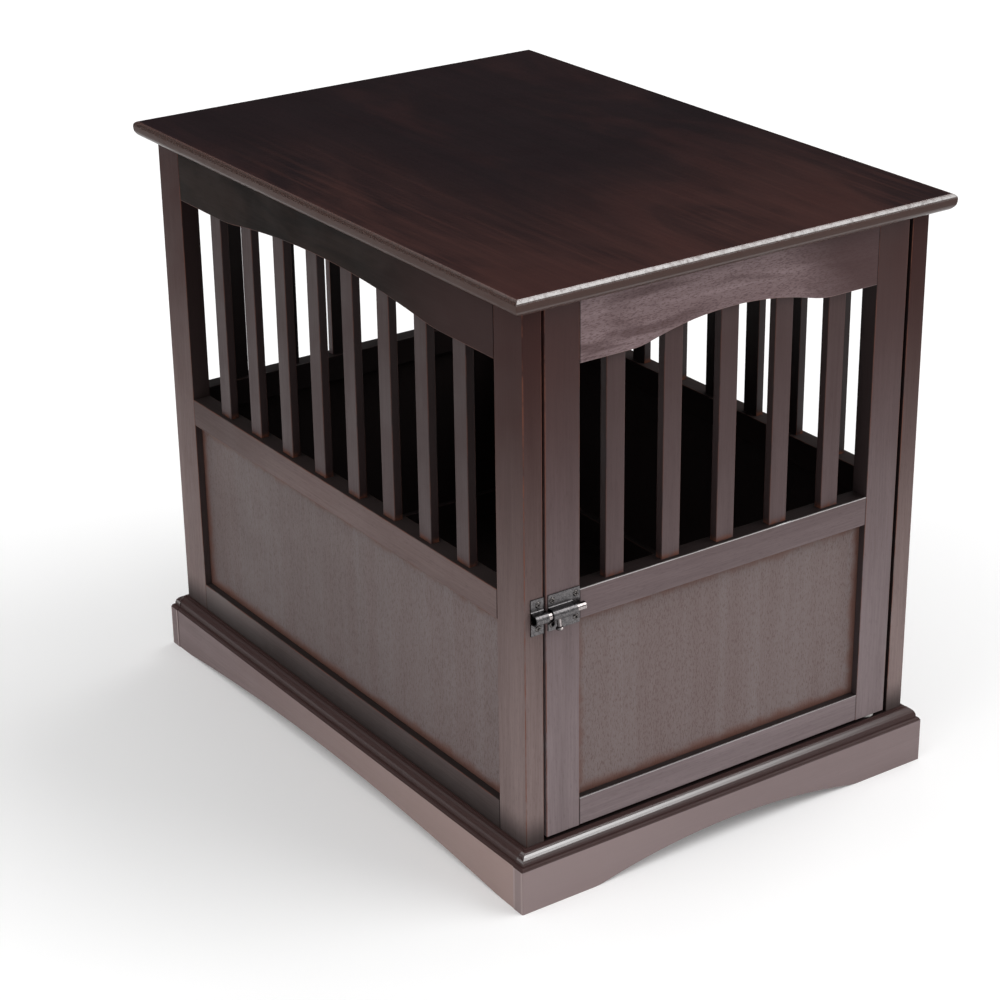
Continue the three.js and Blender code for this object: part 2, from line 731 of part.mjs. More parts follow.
function latchBody() {
  const plateEnd = barrelStart + latchPlateWidth;
  const bottom = latchHeight - latchPlateHeight / 2;
  const plate = block(
    [barrelStart, frontFace - sheetThickness, bottom],
    [plateEnd, frontFace, bottom + latchPlateHeight],
  );
  const barrel = loopedPlate(barrelStart, barrelStart + barrelLength, latchPlateHeight);
  const slotHalfHeight = knobStemRadius + slotClearance;
  const slotHalfLength = slotHalfHeight + boltThrow / 2;
  const slot = towardsKnob(block(
    [-slotHalfLength, -slotHalfHeight, 0],
    [slotHalfLength, slotHalfHeight, 3 * boltRadius],
  ), knobX + boltThrow / 2);
  return plate.add(barrel).subtract(slot);
}

function latchBolt() {
  const chamfer = 0.8;
  const rod = turned([
    [0, 0],
    [boltRadius - chamfer, 0],
    [boltRadius, chamfer],
    [boltRadius, boltLength - chamfer],
    [boltRadius - chamfer, boltLength],
    [0, boltLength],
  ]).rotate([0, 90, 0]).translate(boltStart, boltAxisY, latchHeight);
  const seatRadius = knobStemRadius + seam;
  const seatBottom = boltRadius - knobSeatDepth - seam;
  const seat = turned([
    [0, seatBottom],
    [seatRadius, seatBottom],
    [seatRadius, 2 * boltRadius],
    [0, 2 * boltRadius],
  ]);
  return rod.subtract(towardsKnob(seat, knobX));
}

function latchKnob() {
  const headSteps = 6;
  const headCentre = knobReach - knobHeadHeight / 2;
  const neckAngle = Math.asin(knobStemRadius / knobHeadRadius);
  const profile = [[0, boltRadius - knobSeatDepth], [knobStemRadius, boltRadius - knobSeatDepth]];
  for (let step = 0; step <= headSteps; step += 1) {
    const angle = neckAngle + ((Math.PI - neckAngle) * step) / headSteps;
    const radius = step === headSteps ? 0 : knobHeadRadius * Math.sin(angle);
    profile.push([radius, headCentre - (knobHeadHeight / 2) * Math.cos(angle)]);
  }
  return towardsKnob(turned(profile, 16), knobX);
}

function latch() {
  const keeperEnd = -innerHalfWidth - keeperInset;
  return [
    piece('latch_body', 'pewter', latchBody()),
    piece('latch_bolt', 'pewter', latchBolt()),
    piece('latch_knob', 'pewter', latchKnob()),
    piece('latch_keeper', 'pewter', loopedPlate(keeperEnd - keeperWidth, keeperEnd, latchPlateHeight)),
  ];
}

// ---------------------------------------------------------------------------------------
// The crate
// ---------------------------------------------------------------------------------------

const crate = new THREE.Group();
crate.add(
  piece('table_top', 'tableTop', tableTop()),
  sideFrame('left', 1, -1, -carcassHalfWidth),
  sideFrame('right', -1, 1, carcassHalfWidth),
  backFrame(),
  doorFrame(),
  ...skirts(),
  ...floorParts(),
  ...pivotParts(),
  doorStop(),
  ...latch(),
);

export default crate;
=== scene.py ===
"""Looks of the dog crate end table: its stains, veneers and metals, its screws, and the studio round it.

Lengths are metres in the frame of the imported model: +Z is up, the door faces -Y, and the floor is z = 0.
"""

from __future__ import annotations

import logging
import math
from dataclasses import dataclass, field, replace
from enum import Enum

import bmesh
import bpy
from mathutils import Matrix, Vector

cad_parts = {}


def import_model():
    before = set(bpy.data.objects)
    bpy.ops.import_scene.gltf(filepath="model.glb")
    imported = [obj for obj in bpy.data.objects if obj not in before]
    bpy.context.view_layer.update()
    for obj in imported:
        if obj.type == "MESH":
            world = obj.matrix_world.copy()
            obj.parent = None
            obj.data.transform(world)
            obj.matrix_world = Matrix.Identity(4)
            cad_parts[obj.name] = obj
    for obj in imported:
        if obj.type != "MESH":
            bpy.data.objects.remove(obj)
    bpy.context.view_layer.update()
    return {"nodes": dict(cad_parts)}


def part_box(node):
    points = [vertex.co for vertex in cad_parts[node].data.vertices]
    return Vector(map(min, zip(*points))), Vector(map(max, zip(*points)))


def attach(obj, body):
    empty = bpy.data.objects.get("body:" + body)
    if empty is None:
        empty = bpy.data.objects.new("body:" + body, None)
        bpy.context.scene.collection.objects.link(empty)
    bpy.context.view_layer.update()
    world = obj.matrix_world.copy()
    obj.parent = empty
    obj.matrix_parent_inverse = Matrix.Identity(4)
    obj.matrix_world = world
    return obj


LOG = logging.getLogger("crate_table")
MM = 0.001

Colour = tuple[float, float, float]
Span = tuple[float, float]
Way = tuple[float, float, float]
Feed = "bpy.types.NodeSocket | float | Colour | Vector"


class Axis(Enum):
    """An axis of the frame, such as the one that a board's grain runs along."""

    X = 0
    Y = 1
    Z = 2

    def unit(self, sign: float = 1.0) -> Vector:
        """The unit vector along this axis.

        Args:
            sign: 1 or -1, for the axis or its opposite.

        Returns:
            The vector.
        """
        vector = Vector((0.0, 0.0, 0.0))
        vector[self.value] = sign
        return vector


# How a board's own lie is turned so that its grain runs along X, where every wood pattern is drawn.
GRAIN_TURN = {
    Axis.X: (0.0, 0.0, 0.0),
    Axis.Y: (0.0, 0.0, -math.pi / 2),
    Axis.Z: (0.0, math.pi / 2, 0.0),
}

# How far the pattern moves from one cut of wood to the next, and how that is shared between the axes.
CUT_STEP = 0.731
CUT_SLANT = (1.0, 1.37, 0.61)

GLUE_LINE: Colour = (0.006, 0.004, 0.004)
GLUE_SPAN: Span = (0.9 * MM, 0.2 * MM)
# Colour of the painted highlight on the upper arrises of the door rails.
PAINTED_ARRIS_HIGHLIGHT: Colour = (0.80, 0.76, 0.75)
# Colour of the painted dark reflection on the metal's upper and left faces.
DARK_REFLECTION: Colour = (0.03, 0.029, 0.031)

LACQUER_BUMP = 0.55
LACQUER_RELIEF = 0.4 * MM
METAL_BUMP = 0.5
FIBRE_ROUGHNESS = 0.05
FIBRE_RISE = 0.05
PORE_SINK = -0.12


class Graph:
    """A pen for one shader node tree: its methods add nodes and return the outputs that later ones take."""

    def __init__(self, tree: bpy.types.NodeTree) -> None:
        """Starts on a material's, a group's or a world's node tree."""
        self.tree = tree

    def node(self, kind: str, **settings: object) -> bpy.types.Node:
        """Adds a node.

        Args:
            kind: its type, such as "ShaderNodeMath".
            settings: properties to set on it.

        Returns:
            The node.
        """
        made = self.tree.nodes.new(kind)
        for name, value in settings.items():
            setattr(made, name, value)
        return made

    def feed(self, socket: bpy.types.NodeSocket, value: Feed) -> None:
        """Links a socket to another node's output, or sets its constant.

        Args:
            socket: the input.
            value: an output socket, a number, a colour or a vector.
        """
        if isinstance(value, bpy.types.NodeSocket):
            self.tree.links.new(value, socket)
        elif socket.type == "RGBA":
            socket.default_value = (*value, 1.0)
        else:
            socket.default_value = value

    def math(self, operation: str, a: Feed, b: Feed = 0.0) -> bpy.types.NodeSocket:
        """A Math node.

        Args:
            operation: its operation.
            a: the first value.
            b: the second value, where the operation has one.

        Returns:
            The value.
        """
        made = self.node("ShaderNodeMath", operation=operation)
        self.feed(made.inputs[0], a)
        self.feed(made.inputs[1], b)
        return made.outputs[0]

    def vector(self, operation: str, a: Feed, b: Feed = (0.0, 0.0, 0.0)) -> bpy.types.NodeSocket:
        """A Vector Math node.

        Args:
            operation: its operation.
            a: the first vector.
            b: the second vector, where the operation has one.

        Returns:
            The vector, or the value of a dot product or a length.
        """
        made = self.node("ShaderNodeVectorMath", operation=operation)
        self.feed(made.inputs[0], a)
        self.feed(made.inputs[1], b)
        return made.outputs["Value" if operation in ("DOT_PRODUCT", "LENGTH") else "Vector"]

    def parts(self, vector: bpy.types.NodeSocket) -> tuple[bpy.types.NodeSocket, ...]:
        """The X, Y and Z of a vector.

        Args:
            vector: the vector.

        Returns:
            Its three values.
        """
        made = self.node("ShaderNodeSeparateXYZ")
        self.feed(made.inputs[0], vector)
        return tuple(made.outputs)

    def band(self, value: Feed, low: float, high: float) -> bpy.types.NodeSocket:
        """A smooth step from 0 at low to 1 at high, which runs the other way when low is above high.

        Args:
            value: what is measured.
            low: where the step starts.
            high: where it ends.

        Returns:
            The step, from 0 to 1.
        """
        made = self.node("ShaderNodeMapRange", interpolation_type="SMOOTHSTEP")
        flipped = low > high
        self.feed(made.inputs["Value"], value)
        self.feed(made.inputs["From Min"], min(low, high))
        self.feed(made.inputs["From Max"], max(low, high))
        self.feed(made.inputs["To Min"], 1.0 if flipped else 0.0)
        self.feed(made.inputs["To Max"], 0.0 if flipped else 1.0)
        return made.outputs["Result"]

    def tint(self, share: Feed, a: Feed, b: Feed) -> bpy.types.NodeSocket:
        """A colour between two colours.

        Args:
            share: 0 for the first, 1 for the second.
            a: the first colour.
            b: the second colour.

        Returns:
            The colour.
        """
        made = self.node("ShaderNodeMix", data_type="RGBA")
        self.feed(made.inputs[0], share)
        self.feed(made.inputs[6], a)
        self.feed(made.inputs[7], b)
        return made.outputs[2]

    def noise(
        self, point: Feed, scale: float, detail: float = 2.0, roughness: float = 0.5, distortion: float = 0.0
    ) -> bpy.types.NodeSocket:
        """A Noise Texture's value.

        Args:
            point: where it is read.
            scale: its scale.
            detail: its octaves.
            roughness: how strong the finer octaves are.
            distortion: how much it is warped.

        Returns:
            The value, about 0.5 on average.
        """
        made = self.node("ShaderNodeTexNoise")
        self.feed(made.inputs["Vector"], point)
        self.feed(made.inputs["Scale"], scale)
        self.feed(made.inputs["Detail"], detail)
        self.feed(made.inputs["Roughness"], roughness)
        self.feed(made.inputs["Distortion"], distortion)
        return made.outputs[0]

    def place(self, group: bpy.types.NodeTree, **values: Feed) -> bpy.types.Node:
        """Adds a node group with its own values.

        Args:
            group: the group.
            values: its inputs by name, with _ for a space.

        Returns:
            The group's node, with its outputs by name.
        """
        made = self.node("ShaderNodeGroup", node_tree=group)
        for name, value in values.items():
            self.feed(made.inputs[name.replace("_", " ")], value)
        return made

    def bump(self, height: Feed, strength: float, distance: float) -> bpy.types.NodeSocket:
        """A Bump node.

        Args:
            height: the relief.
            strength: how much of it shows.
            distance: how deep a height of 1 is.

        Returns:
            The normal.
        """
        made = self.node("ShaderNodeBump")
        self.feed(made.inputs["Strength"], strength)
        self.feed(made.inputs["Distance"], distance)
        self.feed(made.inputs["Height"], height)
        return made.outputs[0]

    def surface(self, shader: bpy.types.Node) -> None:
        """Ends the material with its shader."""
        self.feed(self.node("ShaderNodeOutputMaterial").inputs["Surface"], shader.outputs[0])


def new_material(name: str) -> tuple[bpy.types.Material, Graph]:
    """Starts a material with an empty node tree.

    Args:
        name: its name.

    Returns:
        The material, and the graph of its tree.
    """
    material = bpy.data.materials.new(name)
    material.use_nodes = True
    material.node_tree.nodes.clear()
    return material, Graph(material.node_tree)


SOCKET_KINDS = {"value": "NodeSocketFloat", "vector": "NodeSocketVector", "colour": "NodeSocketColor"}


class SharedEffects:
    """The shader node groups that several finishes use, each built once."""

    def __init__(self) -> None:
        """Builds every group."""
        self.grain = self._grain()
        self.veneer = self._veneer()
        self.reach = self._reach()
        self.arris = self._arris()
        self.lacquer = self._lacquer()
        self.mottle = self._mottle()

    def _start(
        self, name: str, takes: dict[str, str], gives: dict[str, str]
    ) -> tuple[Graph, bpy.types.Node, bpy.types.Node]:
        """Starts a group with named inputs and outputs.

        Args:
            name: the group's name.
            takes: its inputs and their kinds.
            gives: its outputs and their kinds.

        Returns:
            The graph, the node with the group's inputs, and the node that takes its outputs.
        """
        tree = bpy.data.node_groups.new(name, "ShaderNodeTree")
        for label, kind in takes.items():
            tree.interface.new_socket(label, in_out="INPUT", socket_type=SOCKET_KINDS[kind])
        for label, kind in gives.items():
            tree.interface.new_socket(label, in_out="OUTPUT", socket_type=SOCKET_KINDS[kind])
        graph = Graph(tree)
        return graph, graph.node("NodeGroupInput"), graph.node("NodeGroupOutput")

    def _grain(self) -> bpy.types.NodeTree:
        """Solid wood whose grain runs along X.

        Returns:
            A group that gives broad streaks, fine fibres, open pores and a slanting figure.
        """
        graph, takes, gives = self._start(
            "wood_grain",
            {"Point": "vector"},
            {"Streak": "value", "Fibre": "value", "Pore": "value", "Figure": "value"},
        )
        point = takes.outputs["Point"]
        drift = graph.noise(graph.vector("MULTIPLY", point, (1.6, 9.0, 9.0)), 1.0, 2.0)
        swayed = graph.vector("ADD", point, graph.vector("MULTIPLY", drift, (0.0, 0.02, 0.02)))
        streak = graph.noise(graph.vector("MULTIPLY", swayed, (2.6, 62.0, 62.0)), 1.0, 4.0, 0.55)
        fibre = graph.noise(graph.vector("MULTIPLY", swayed, (16.0, 620.0, 620.0)), 1.0, 3.0, 0.6)
        pore = graph.noise(graph.vector("MULTIPLY", swayed, (130.0, 950.0, 950.0)), 1.0, 2.0, 0.5)
        slant = graph.vector("MULTIPLY", point, (7.0, 22.0, 22.0))
        figure = graph.noise(slant, 1.0, 3.0, 0.55, 1.4)
        graph.feed(gives.inputs["Streak"], graph.band(streak, 0.32, 0.68))
        graph.feed(gives.inputs["Fibre"], graph.band(fibre, 0.34, 0.66))
        graph.feed(gives.inputs["Pore"], graph.band(pore, 0.56, 0.68))
        graph.feed(gives.inputs["Figure"], graph.band(figure, 0.36, 0.64))
        return graph.tree

    def _veneer(self) -> bpy.types.NodeTree:
        """Sliced veneer whose grain runs along X: short open pores in faint bands.

        Returns:
            A group that gives the pores, their bands and a height.
        """
        graph, takes, gives = self._start(
            "sliced_veneer",
            {"Point": "vector"},
            {"Tick": "value", "Band": "value", "Height": "value"},
        )
        point = takes.outputs["Point"]
        band = graph.noise(graph.vector("MULTIPLY", point, (1.4, 34.0, 34.0)), 1.0, 3.0, 0.5, 0.5)
        coarse = graph.noise(graph.vector("MULTIPLY", point, (210.0, 900.0, 900.0)), 1.0, 2.0, 0.6)
        fine = graph.noise(graph.vector("MULTIPLY", point, (480.0, 1700.0, 1700.0)), 1.0, 1.0, 0.5)
        worked = graph.math("ADD", graph.math("MULTIPLY", coarse, 0.7), graph.math("MULTIPLY", fine, 0.3))
        raised = graph.math("ADD", worked, graph.math("MULTIPLY", band, 0.06))
        tick = graph.band(raised, 0.52, 0.63)
        graph.feed(gives.inputs["Tick"], tick)
        graph.feed(gives.inputs["Band"], graph.band(band, 0.35, 0.65))
        graph.feed(gives.inputs["Height"], graph.math("SUBTRACT", 1.0, tick))
        return graph.tree

    def _reach(self) -> bpy.types.NodeTree:
        """How far a point is inside a box's faces.

        Returns:
            A group that gives the distance to the nearest face along each axis, and the least of them.
        """
        graph, takes, gives = self._start(
            "inside_box",
            {"Point": "vector", "Centre": "vector", "Half": "vector"},
            {"X": "value", "Y": "value", "Z": "value", "Nearest": "value"},
        )
        away = graph.vector("SUBTRACT", takes.outputs["Point"], takes.outputs["Centre"])
        away = graph.vector("ABSOLUTE", away)
        left = graph.parts(graph.vector("SUBTRACT", takes.outputs["Half"], away))
        for name, value in zip("XYZ", left):
            graph.feed(gives.inputs[name], value)
        nearest = graph.math("MINIMUM", graph.math("MINIMUM", left[0], left[1]), left[2])
        graph.feed(gives.inputs["Nearest"], nearest)
        return graph.tree

    def _arris(self) -> bpy.types.NodeTree:
        """Where a board's eased edges are, from the way that its surface faces.

        Returns:
            A group that gives 1 on an eased edge, broken up by rubbing.
        """
        graph, takes, gives = self._start(
            "rubbed_arris",
            {"Point": "vector", "Normal": "vector", "Thickness": "vector"},
            {"Arris": "value", "Rubbed": "value"},
        )
        lean = graph.vector("DOT_PRODUCT", takes.outputs["Normal"], takes.outputs["Thickness"])
        lean = graph.math("ABSOLUTE", lean)
        edge = graph.math("MULTIPLY", graph.band(lean, 0.08, 0.3), graph.band(lean, 0.985, 0.9))
        patches = graph.noise(takes.outputs["Point"], 26.0, 4.0, 0.65)
        graph.feed(gives.inputs["Arris"], edge)
        graph.feed(gives.inputs["Rubbed"], graph.math("MULTIPLY", edge, graph.band(patches, 0.36, 0.58)))
        return graph.tree

    def _lacquer(self) -> bpy.types.NodeTree:
        """A sprayed lacquer skin: its ripple and its clouds of gloss.

        Returns:
            A group that gives the ripple's height and the clouds.
        """
        graph, takes, gives = self._start(
            "lacquer_skin",
            {"Point": "vector"},
            {"Ripple": "value", "Cloud": "value"},
        )
        point = takes.outputs["Point"]
        ripple = graph.noise(point, 210.0, 3.0, 0.55)
        cloud = graph.noise(point, 13.0, 4.0, 0.6)
        graph.feed(gives.inputs["Ripple"], ripple)
        graph.feed(gives.inputs["Cloud"], graph.band(cloud, 0.3, 0.7))
        return graph.tree

    def _mottle(self) -> bpy.types.NodeTree:
        """Rolled and plated sheet metal: blotches, drawn lines along X and a height.

        Returns:
            A group that gives the blotches, the lines and the height.
        """
        graph, takes, gives = self._start(
            "plated_metal",
            {"Point": "vector"},
            {"Blotch": "value", "Line": "value", "Height": "value"},
        )
        point = takes.outputs["Point"]
        blotch = graph.noise(point, 640.0, 4.0, 0.62, 0.6)
        line = graph.noise(graph.vector("MULTIPLY", point, (130.0, 2300.0, 2300.0)), 1.0, 2.0, 0.5)
        both = graph.math("ADD", graph.math("MULTIPLY", blotch, 0.7), graph.math("MULTIPLY", line, 0.3))
        graph.feed(gives.inputs["Blotch"], graph.band(blotch, 0.36, 0.64))
        graph.feed(gives.inputs["Line"], graph.band(line, 0.35, 0.65))
        graph.feed(gives.inputs["Height"], both)
        return graph.tree


@dataclass(frozen=True)
class Board:
    """One wooden piece of the frame: which way it lies, and what its finish has to know of it."""

    node: str
    grain: Axis
    thick: Axis
    seed: int = 0
    inside: Vector | None = None
    edge: Vector | None = None

    def box(self) -> tuple[Vector, Vector]:
        """The middle of the board, and half of each of its sides."""
        low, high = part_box(self.node)
        return (low + high) / 2, (high - low) / 2


@dataclass(frozen=True)
class WoodFinish:
    """A stained and lacquered wood, whose colours also carry painted shade and painted sheen of the floor
    where its fields say so.
    """

    name: str
    # high is the colour at the top and low the colour near the floor: the stain, with painted shade under the
    # top and painted sheen of the floor.
    high: Colour
    low: Colour
    dark: Colour
    worn: Colour = (0.17, 0.062, 0.04)
    # Colour of the painted shade inside the cabin.
    inner: Colour = (0.0135, 0.0085, 0.0085)
    # Heights over which the colour goes from high to low, painted shade giving way to painted sheen of the
    # floor.
    shade_sheen_span: Span = (0.565, 0.11)
    streaks: float = 0.18
    fibres: float = 0.14
    pores: float = 0.15
    figure: float = 0.0
    figure_colour: Colour = (0.2, 0.14, 0.14)
    rub: float = 0.8
    # Painted shade on faces that look up: how strong, and its colour, which the painted shade at the foot
    # also takes.
    upward_shade: float = 0.0
    painted_shade_colour: Colour = (0.010, 0.006, 0.0058)
    # Painted sheen of the floor on arrises that look down: how strong, and its colour.
    lower_arris_sheen: float = 0.0
    lower_arris_sheen_colour: Colour = (0.30, 0.235, 0.235)
    # Painted shade near the floor: how strong, and the heights over which it comes in.
    foot: float = 0.0
    foot_shade_span: Span = (0.096, 0.064)
    seams: float = 0.6
    rough: Span = (0.42, 0.55)
    coat_high: float = 0.0
    coat_low: float = 0.0
    coat_rough: float = 0.24
    coat_ior: float = 1.5
    gloss: float = 0.0
    specular: float = 0.22
    ripple: float = 0.10

    def toned(self, factor: float) -> "WoodFinish":
        """The same finish, lighter or darker.

        Args:
            factor: how much of its own lightness is left.

        Returns:
            The finish.
        """
        colours = (self.high, self.low, self.dark)
        high, low, dark = (tuple(value * factor for value in colour) for colour in colours)
        return replace(self, high=high, low=low, dark=dark)

    def start(self, board: Board, effects: SharedEffects) -> "Coat":
        """Lays the first coats of this finish on a new material for a board."""
        return Coat(self, board, effects)


class Coat:
    """A wood finish being laid on one board: the colour so far, and the masks to lay more with."""

    def __init__(self, finish: WoodFinish, board: Board, effects: SharedEffects) -> None:
        """Stains the board; its colour goes from high at the top to low near the floor, partly the stain and
        partly painted shade under the top and painted sheen of the floor.

        Args:
            finish: the finish.
            board: the board.
            effects: the shared groups.
        """
        self.finish = finish
        self.board = board
        self.effects = effects
        self.material, self.graph = new_material(f"{finish.name}_{board.node}")
        graph = self.graph
        where = graph.node("ShaderNodeTexCoord")
        self.point = where.outputs["Object"]
        self.normal = where.outputs["Normal"]
        lie = graph.node("ShaderNodeMapping")
        graph.feed(lie.inputs["Vector"], self.point)
        lie.inputs["Rotation"].default_value = GRAIN_TURN[board.grain]
        shift = board.seed * CUT_STEP
        lie.inputs["Location"].default_value = tuple(shift * part for part in CUT_SLANT)
        self.lie = lie.outputs[0]
        self.wood = graph.place(effects.grain, Point=self.lie)
        self.skin = graph.place(effects.lacquer, Point=self.point)
        centre, half = board.box()
        self.reach = graph.place(effects.reach, Point=self.point, Centre=centre, Half=half)
        self.arris = graph.place(
            effects.arris, Point=self.point, Normal=self.normal, Thickness=board.thick.unit()
        )
        self.height = graph.parts(self.point)[2]
        self.drop = graph.band(self.height, *finish.shade_sheen_span)
        self.rise = graph.parts(self.normal)[2]
        self.gleam = graph.math("MULTIPLY", self.arris.outputs["Arris"], graph.band(self.rise, 0.15, 0.45))
        self.heights: list[tuple[bpy.types.NodeSocket, float]] = []
        # Painted shade at the top and painted sheen of the floor lower down, mixed into the stain by height.
        self.colour = graph.tint(self.drop, finish.high, finish.low)
        self.lay(self.wood.outputs["Streak"], finish.streaks, finish.dark)
        self.lay(self.wood.outputs["Fibre"], finish.fibres, finish.dark)
        if finish.figure:
            self.lay(self.wood.outputs["Figure"], finish.figure, finish.figure_colour)
        self.lay(self.wood.outputs["Pore"], finish.pores, finish.dark)

    def lay(self, mask: bpy.types.NodeSocket, strength: float, colour: Colour) -> None:
        """Lays a colour where a mask says, as strong as given where the mask is 1."""
        share = self.graph.math("MULTIPLY", mask, strength)
        self.colour = self.graph.tint(share, self.colour, colour)

    def seam(self, axis: Axis) -> None:
        """Darkens the glue line at both ends of the board along an axis."""
        near = self.graph.band(self.reach.outputs[axis.name], *GLUE_SPAN)
        self.lay(near, self.finish.seams, GLUE_LINE)

    def inside(self) -> None:
        """Darkens the face towards the cabin, and the edge towards the opening, with painted shade."""
        for way, strength in ((self.board.inside, 0.97), (self.board.edge, 0.82)):
            if way is not None:
                facing = self.graph.vector("DOT_PRODUCT", self.normal, way)
                # Painted shade on the face towards the cabin and the edge towards the opening.
                self.lay(self.graph.band(facing, 0.4, 0.8), strength, self.finish.inner)

    def mould(self, where: bpy.types.NodeSocket, blotted: float, under: float, standing: float) -> None:
        """Lets a moulding shine most where it rounds upwards, and less where it stands or turns under.

        Args:
            where: the mask of the moulding.
            blotted: how much of the shine is lost in blots.
            under: the shine where it turns under.
            standing: the shine where it stands.
        """
        graph = self.graph
        upper = graph.math("MULTIPLY", graph.band(self.rise, 0.05, 0.5), graph.band(self.rise, 0.995, 0.95))
        below = graph.math("MULTIPLY", graph.band(self.rise, -0.2, -0.8), under)
        blots = graph.noise(self.point, 170.0, 4.0, 0.75)
        kept = graph.math("MULTIPLY", graph.band(blots, 0.3, 0.6), blotted)
        kept = graph.math("ADD", kept, 1.0 - blotted)
        lesser = graph.math("MAXIMUM", below, standing)
        shine = graph.math("MAXIMUM", graph.math("MULTIPLY", upper, kept), lesser)
        self.gleam = graph.math("MULTIPLY", shine, where)

    def paint_arris_highlight(self, strength: float) -> None:
        """Paints a pale highlight on the upper arris, where the key light's reflection falls."""
        self.lay(self.gleam, strength, PAINTED_ARRIS_HIGHLIGHT)

    def _roughness(self) -> bpy.types.NodeSocket:
        """Mixes the roughness: clouds of gloss, and a little more on the fibres.

        Returns:
            The roughness.
        """
        graph, (low, high) = self.graph, self.finish.rough
        rough = graph.math("ADD", graph.math("MULTIPLY", self.skin.outputs["Cloud"], high - low), low)
        return graph.math("ADD", rough, graph.math("MULTIPLY", self.wood.outputs["Fibre"], FIBRE_ROUGHNESS))

    def _coat_weight(self) -> bpy.types.NodeSocket:
        """Weighs the lacquer: by the height on the crate, and most where the board gleams.

        Returns:
            The coat's weight.
        """
        graph, finish = self.graph, self.finish
        coat = graph.math("MULTIPLY", self.drop, finish.coat_low - finish.coat_high)
        coat = graph.math("ADD", coat, finish.coat_high)
        return graph.math("MAXIMUM", coat, graph.math("MULTIPLY", self.gleam, finish.gloss))

    def _relief(self) -> bpy.types.NodeSocket:
        """Raises the lacquer's ripple and the fibres, and sinks the pores.

        Returns:
            The normal.
        """
        graph, finish = self.graph, self.finish
        height = graph.math("MULTIPLY", self.skin.outputs["Ripple"], finish.ripple)
        height = graph.math("ADD", height, graph.math("MULTIPLY", self.wood.outputs["Fibre"], FIBRE_RISE))
        sink = PORE_SINK * min(1.0, finish.pores * 3)
        height = graph.math("ADD", height, graph.math("MULTIPLY", self.wood.outputs["Pore"], sink))
        for value, amount in self.heights:
            height = graph.math("ADD", height, graph.math("MULTIPLY", value, amount))
        return graph.bump(height, LACQUER_BUMP, LACQUER_RELIEF)

    def done(self, rubbed: bool = True) -> bpy.types.Material:
        """Rubs the arrises, lays painted shade on upward faces, at the foot and inside, and painted sheen of
        the floor on lower arrises, then lacquers the board and puts the material together.

        Args:
            rubbed: whether the arrises are rubbed red.

        Returns:
            The material.
        """
        graph, finish = self.graph, self.finish
        if rubbed:
            self.lay(self.arris.outputs["Rubbed"], finish.rub, finish.worn)
        # Painted shade on faces that look up.
        self.lay(graph.band(self.rise, 0.82, 0.97), finish.upward_shade, finish.painted_shade_colour)
        # Painted sheen of the floor on arrises that look down.
        if finish.lower_arris_sheen:
            lower = graph.math("MULTIPLY", self.arris.outputs["Arris"], graph.band(self.rise, -0.12, -0.5))
            self.lay(lower, finish.lower_arris_sheen, finish.lower_arris_sheen_colour)
        # Painted shade near the floor, darker towards the base.
        if finish.foot:
            self.lay(graph.band(self.height, *finish.foot_shade_span), finish.foot, finish.painted_shade_colour)
        self.inside()
        shader = graph.node("ShaderNodeBsdfPrincipled")
        for socket, value in (
            ("Base Color", self.colour),
            ("Roughness", self._roughness()),
            ("Specular IOR Level", finish.specular),
            ("Coat Weight", self._coat_weight()),
            ("Coat Roughness", finish.coat_rough),
            ("Coat IOR", finish.coat_ior),
            ("Normal", self._relief()),
        ):
            graph.feed(shader.inputs[socket], value)
        graph.surface(shader)
        return self.material


# The frame wood: its darker high colour is partly painted shade under the top, and its pale grey-brown low
# colour is partly painted sheen of the floor.
FRAME_WOOD = WoodFinish(
    "frame_lacquer",
    high=(0.050, 0.0185, 0.0165),
    low=(0.228, 0.178, 0.184),
    dark=(0.030, 0.013, 0.012),
    # Painted shade on the upward faces of rails and ledges.
    upward_shade=0.95,
    coat_rough=0.15,
    coat_ior=3.6,
)
SIDE_WOOD = replace(
    FRAME_WOOD,
    name="side_lacquer",
    # Partly painted shade at the top and painted sheen of the floor near the bottom, as in the frame wood.
    high=(0.043, 0.0165, 0.0145),
    low=(0.252, 0.189, 0.181),
    specular=0.08,
    # Colour of the painted shade on upward faces and at the foot.
    painted_shade_colour=(0.022, 0.0165, 0.0158),
    # Painted shade at the foot of the side frames.
    foot=0.8,
)
RAIL_BRIGHT = replace(FRAME_WOOD, name="rail_lacquer", gloss=1.0)
SLAT_WOOD = replace(
    FRAME_WOOD,
    name="slat_lacquer",
    # Partly painted shade at the top and painted sheen of the floor near the bottom, as in the frame wood.
    high=(0.060, 0.032, 0.031),
    low=(0.156, 0.114, 0.116),
    rub=0.3,
)
RAIL_FIGURED = replace(
    FRAME_WOOD,
    name="figured_rail",
    high=(0.235, 0.168, 0.174),
    low=(0.235, 0.168, 0.174),
    dark=(0.062, 0.028, 0.027),
    pores=0.3,
    streaks=0.4,
    # Painted sheen of the floor on the lower arrises.
    lower_arris_sheen=0.6,
)
RAIL_DARK = replace(
    SIDE_WOOD,
    name="dark_rail",
    high=(0.0125, 0.0088, 0.0076),
    low=(0.0125, 0.0088, 0.0076),
    dark=(0.0055, 0.0042, 0.0036),
    figure=0.5,
    figure_colour=(0.034, 0.022, 0.0185),
    specular=0.03,
    # Painted sheen of the floor on the lower arrises.
    lower_arris_sheen=0.5,
    lower_arris_sheen_colour=(0.16, 0.12, 0.118),
    foot=0.0,
)
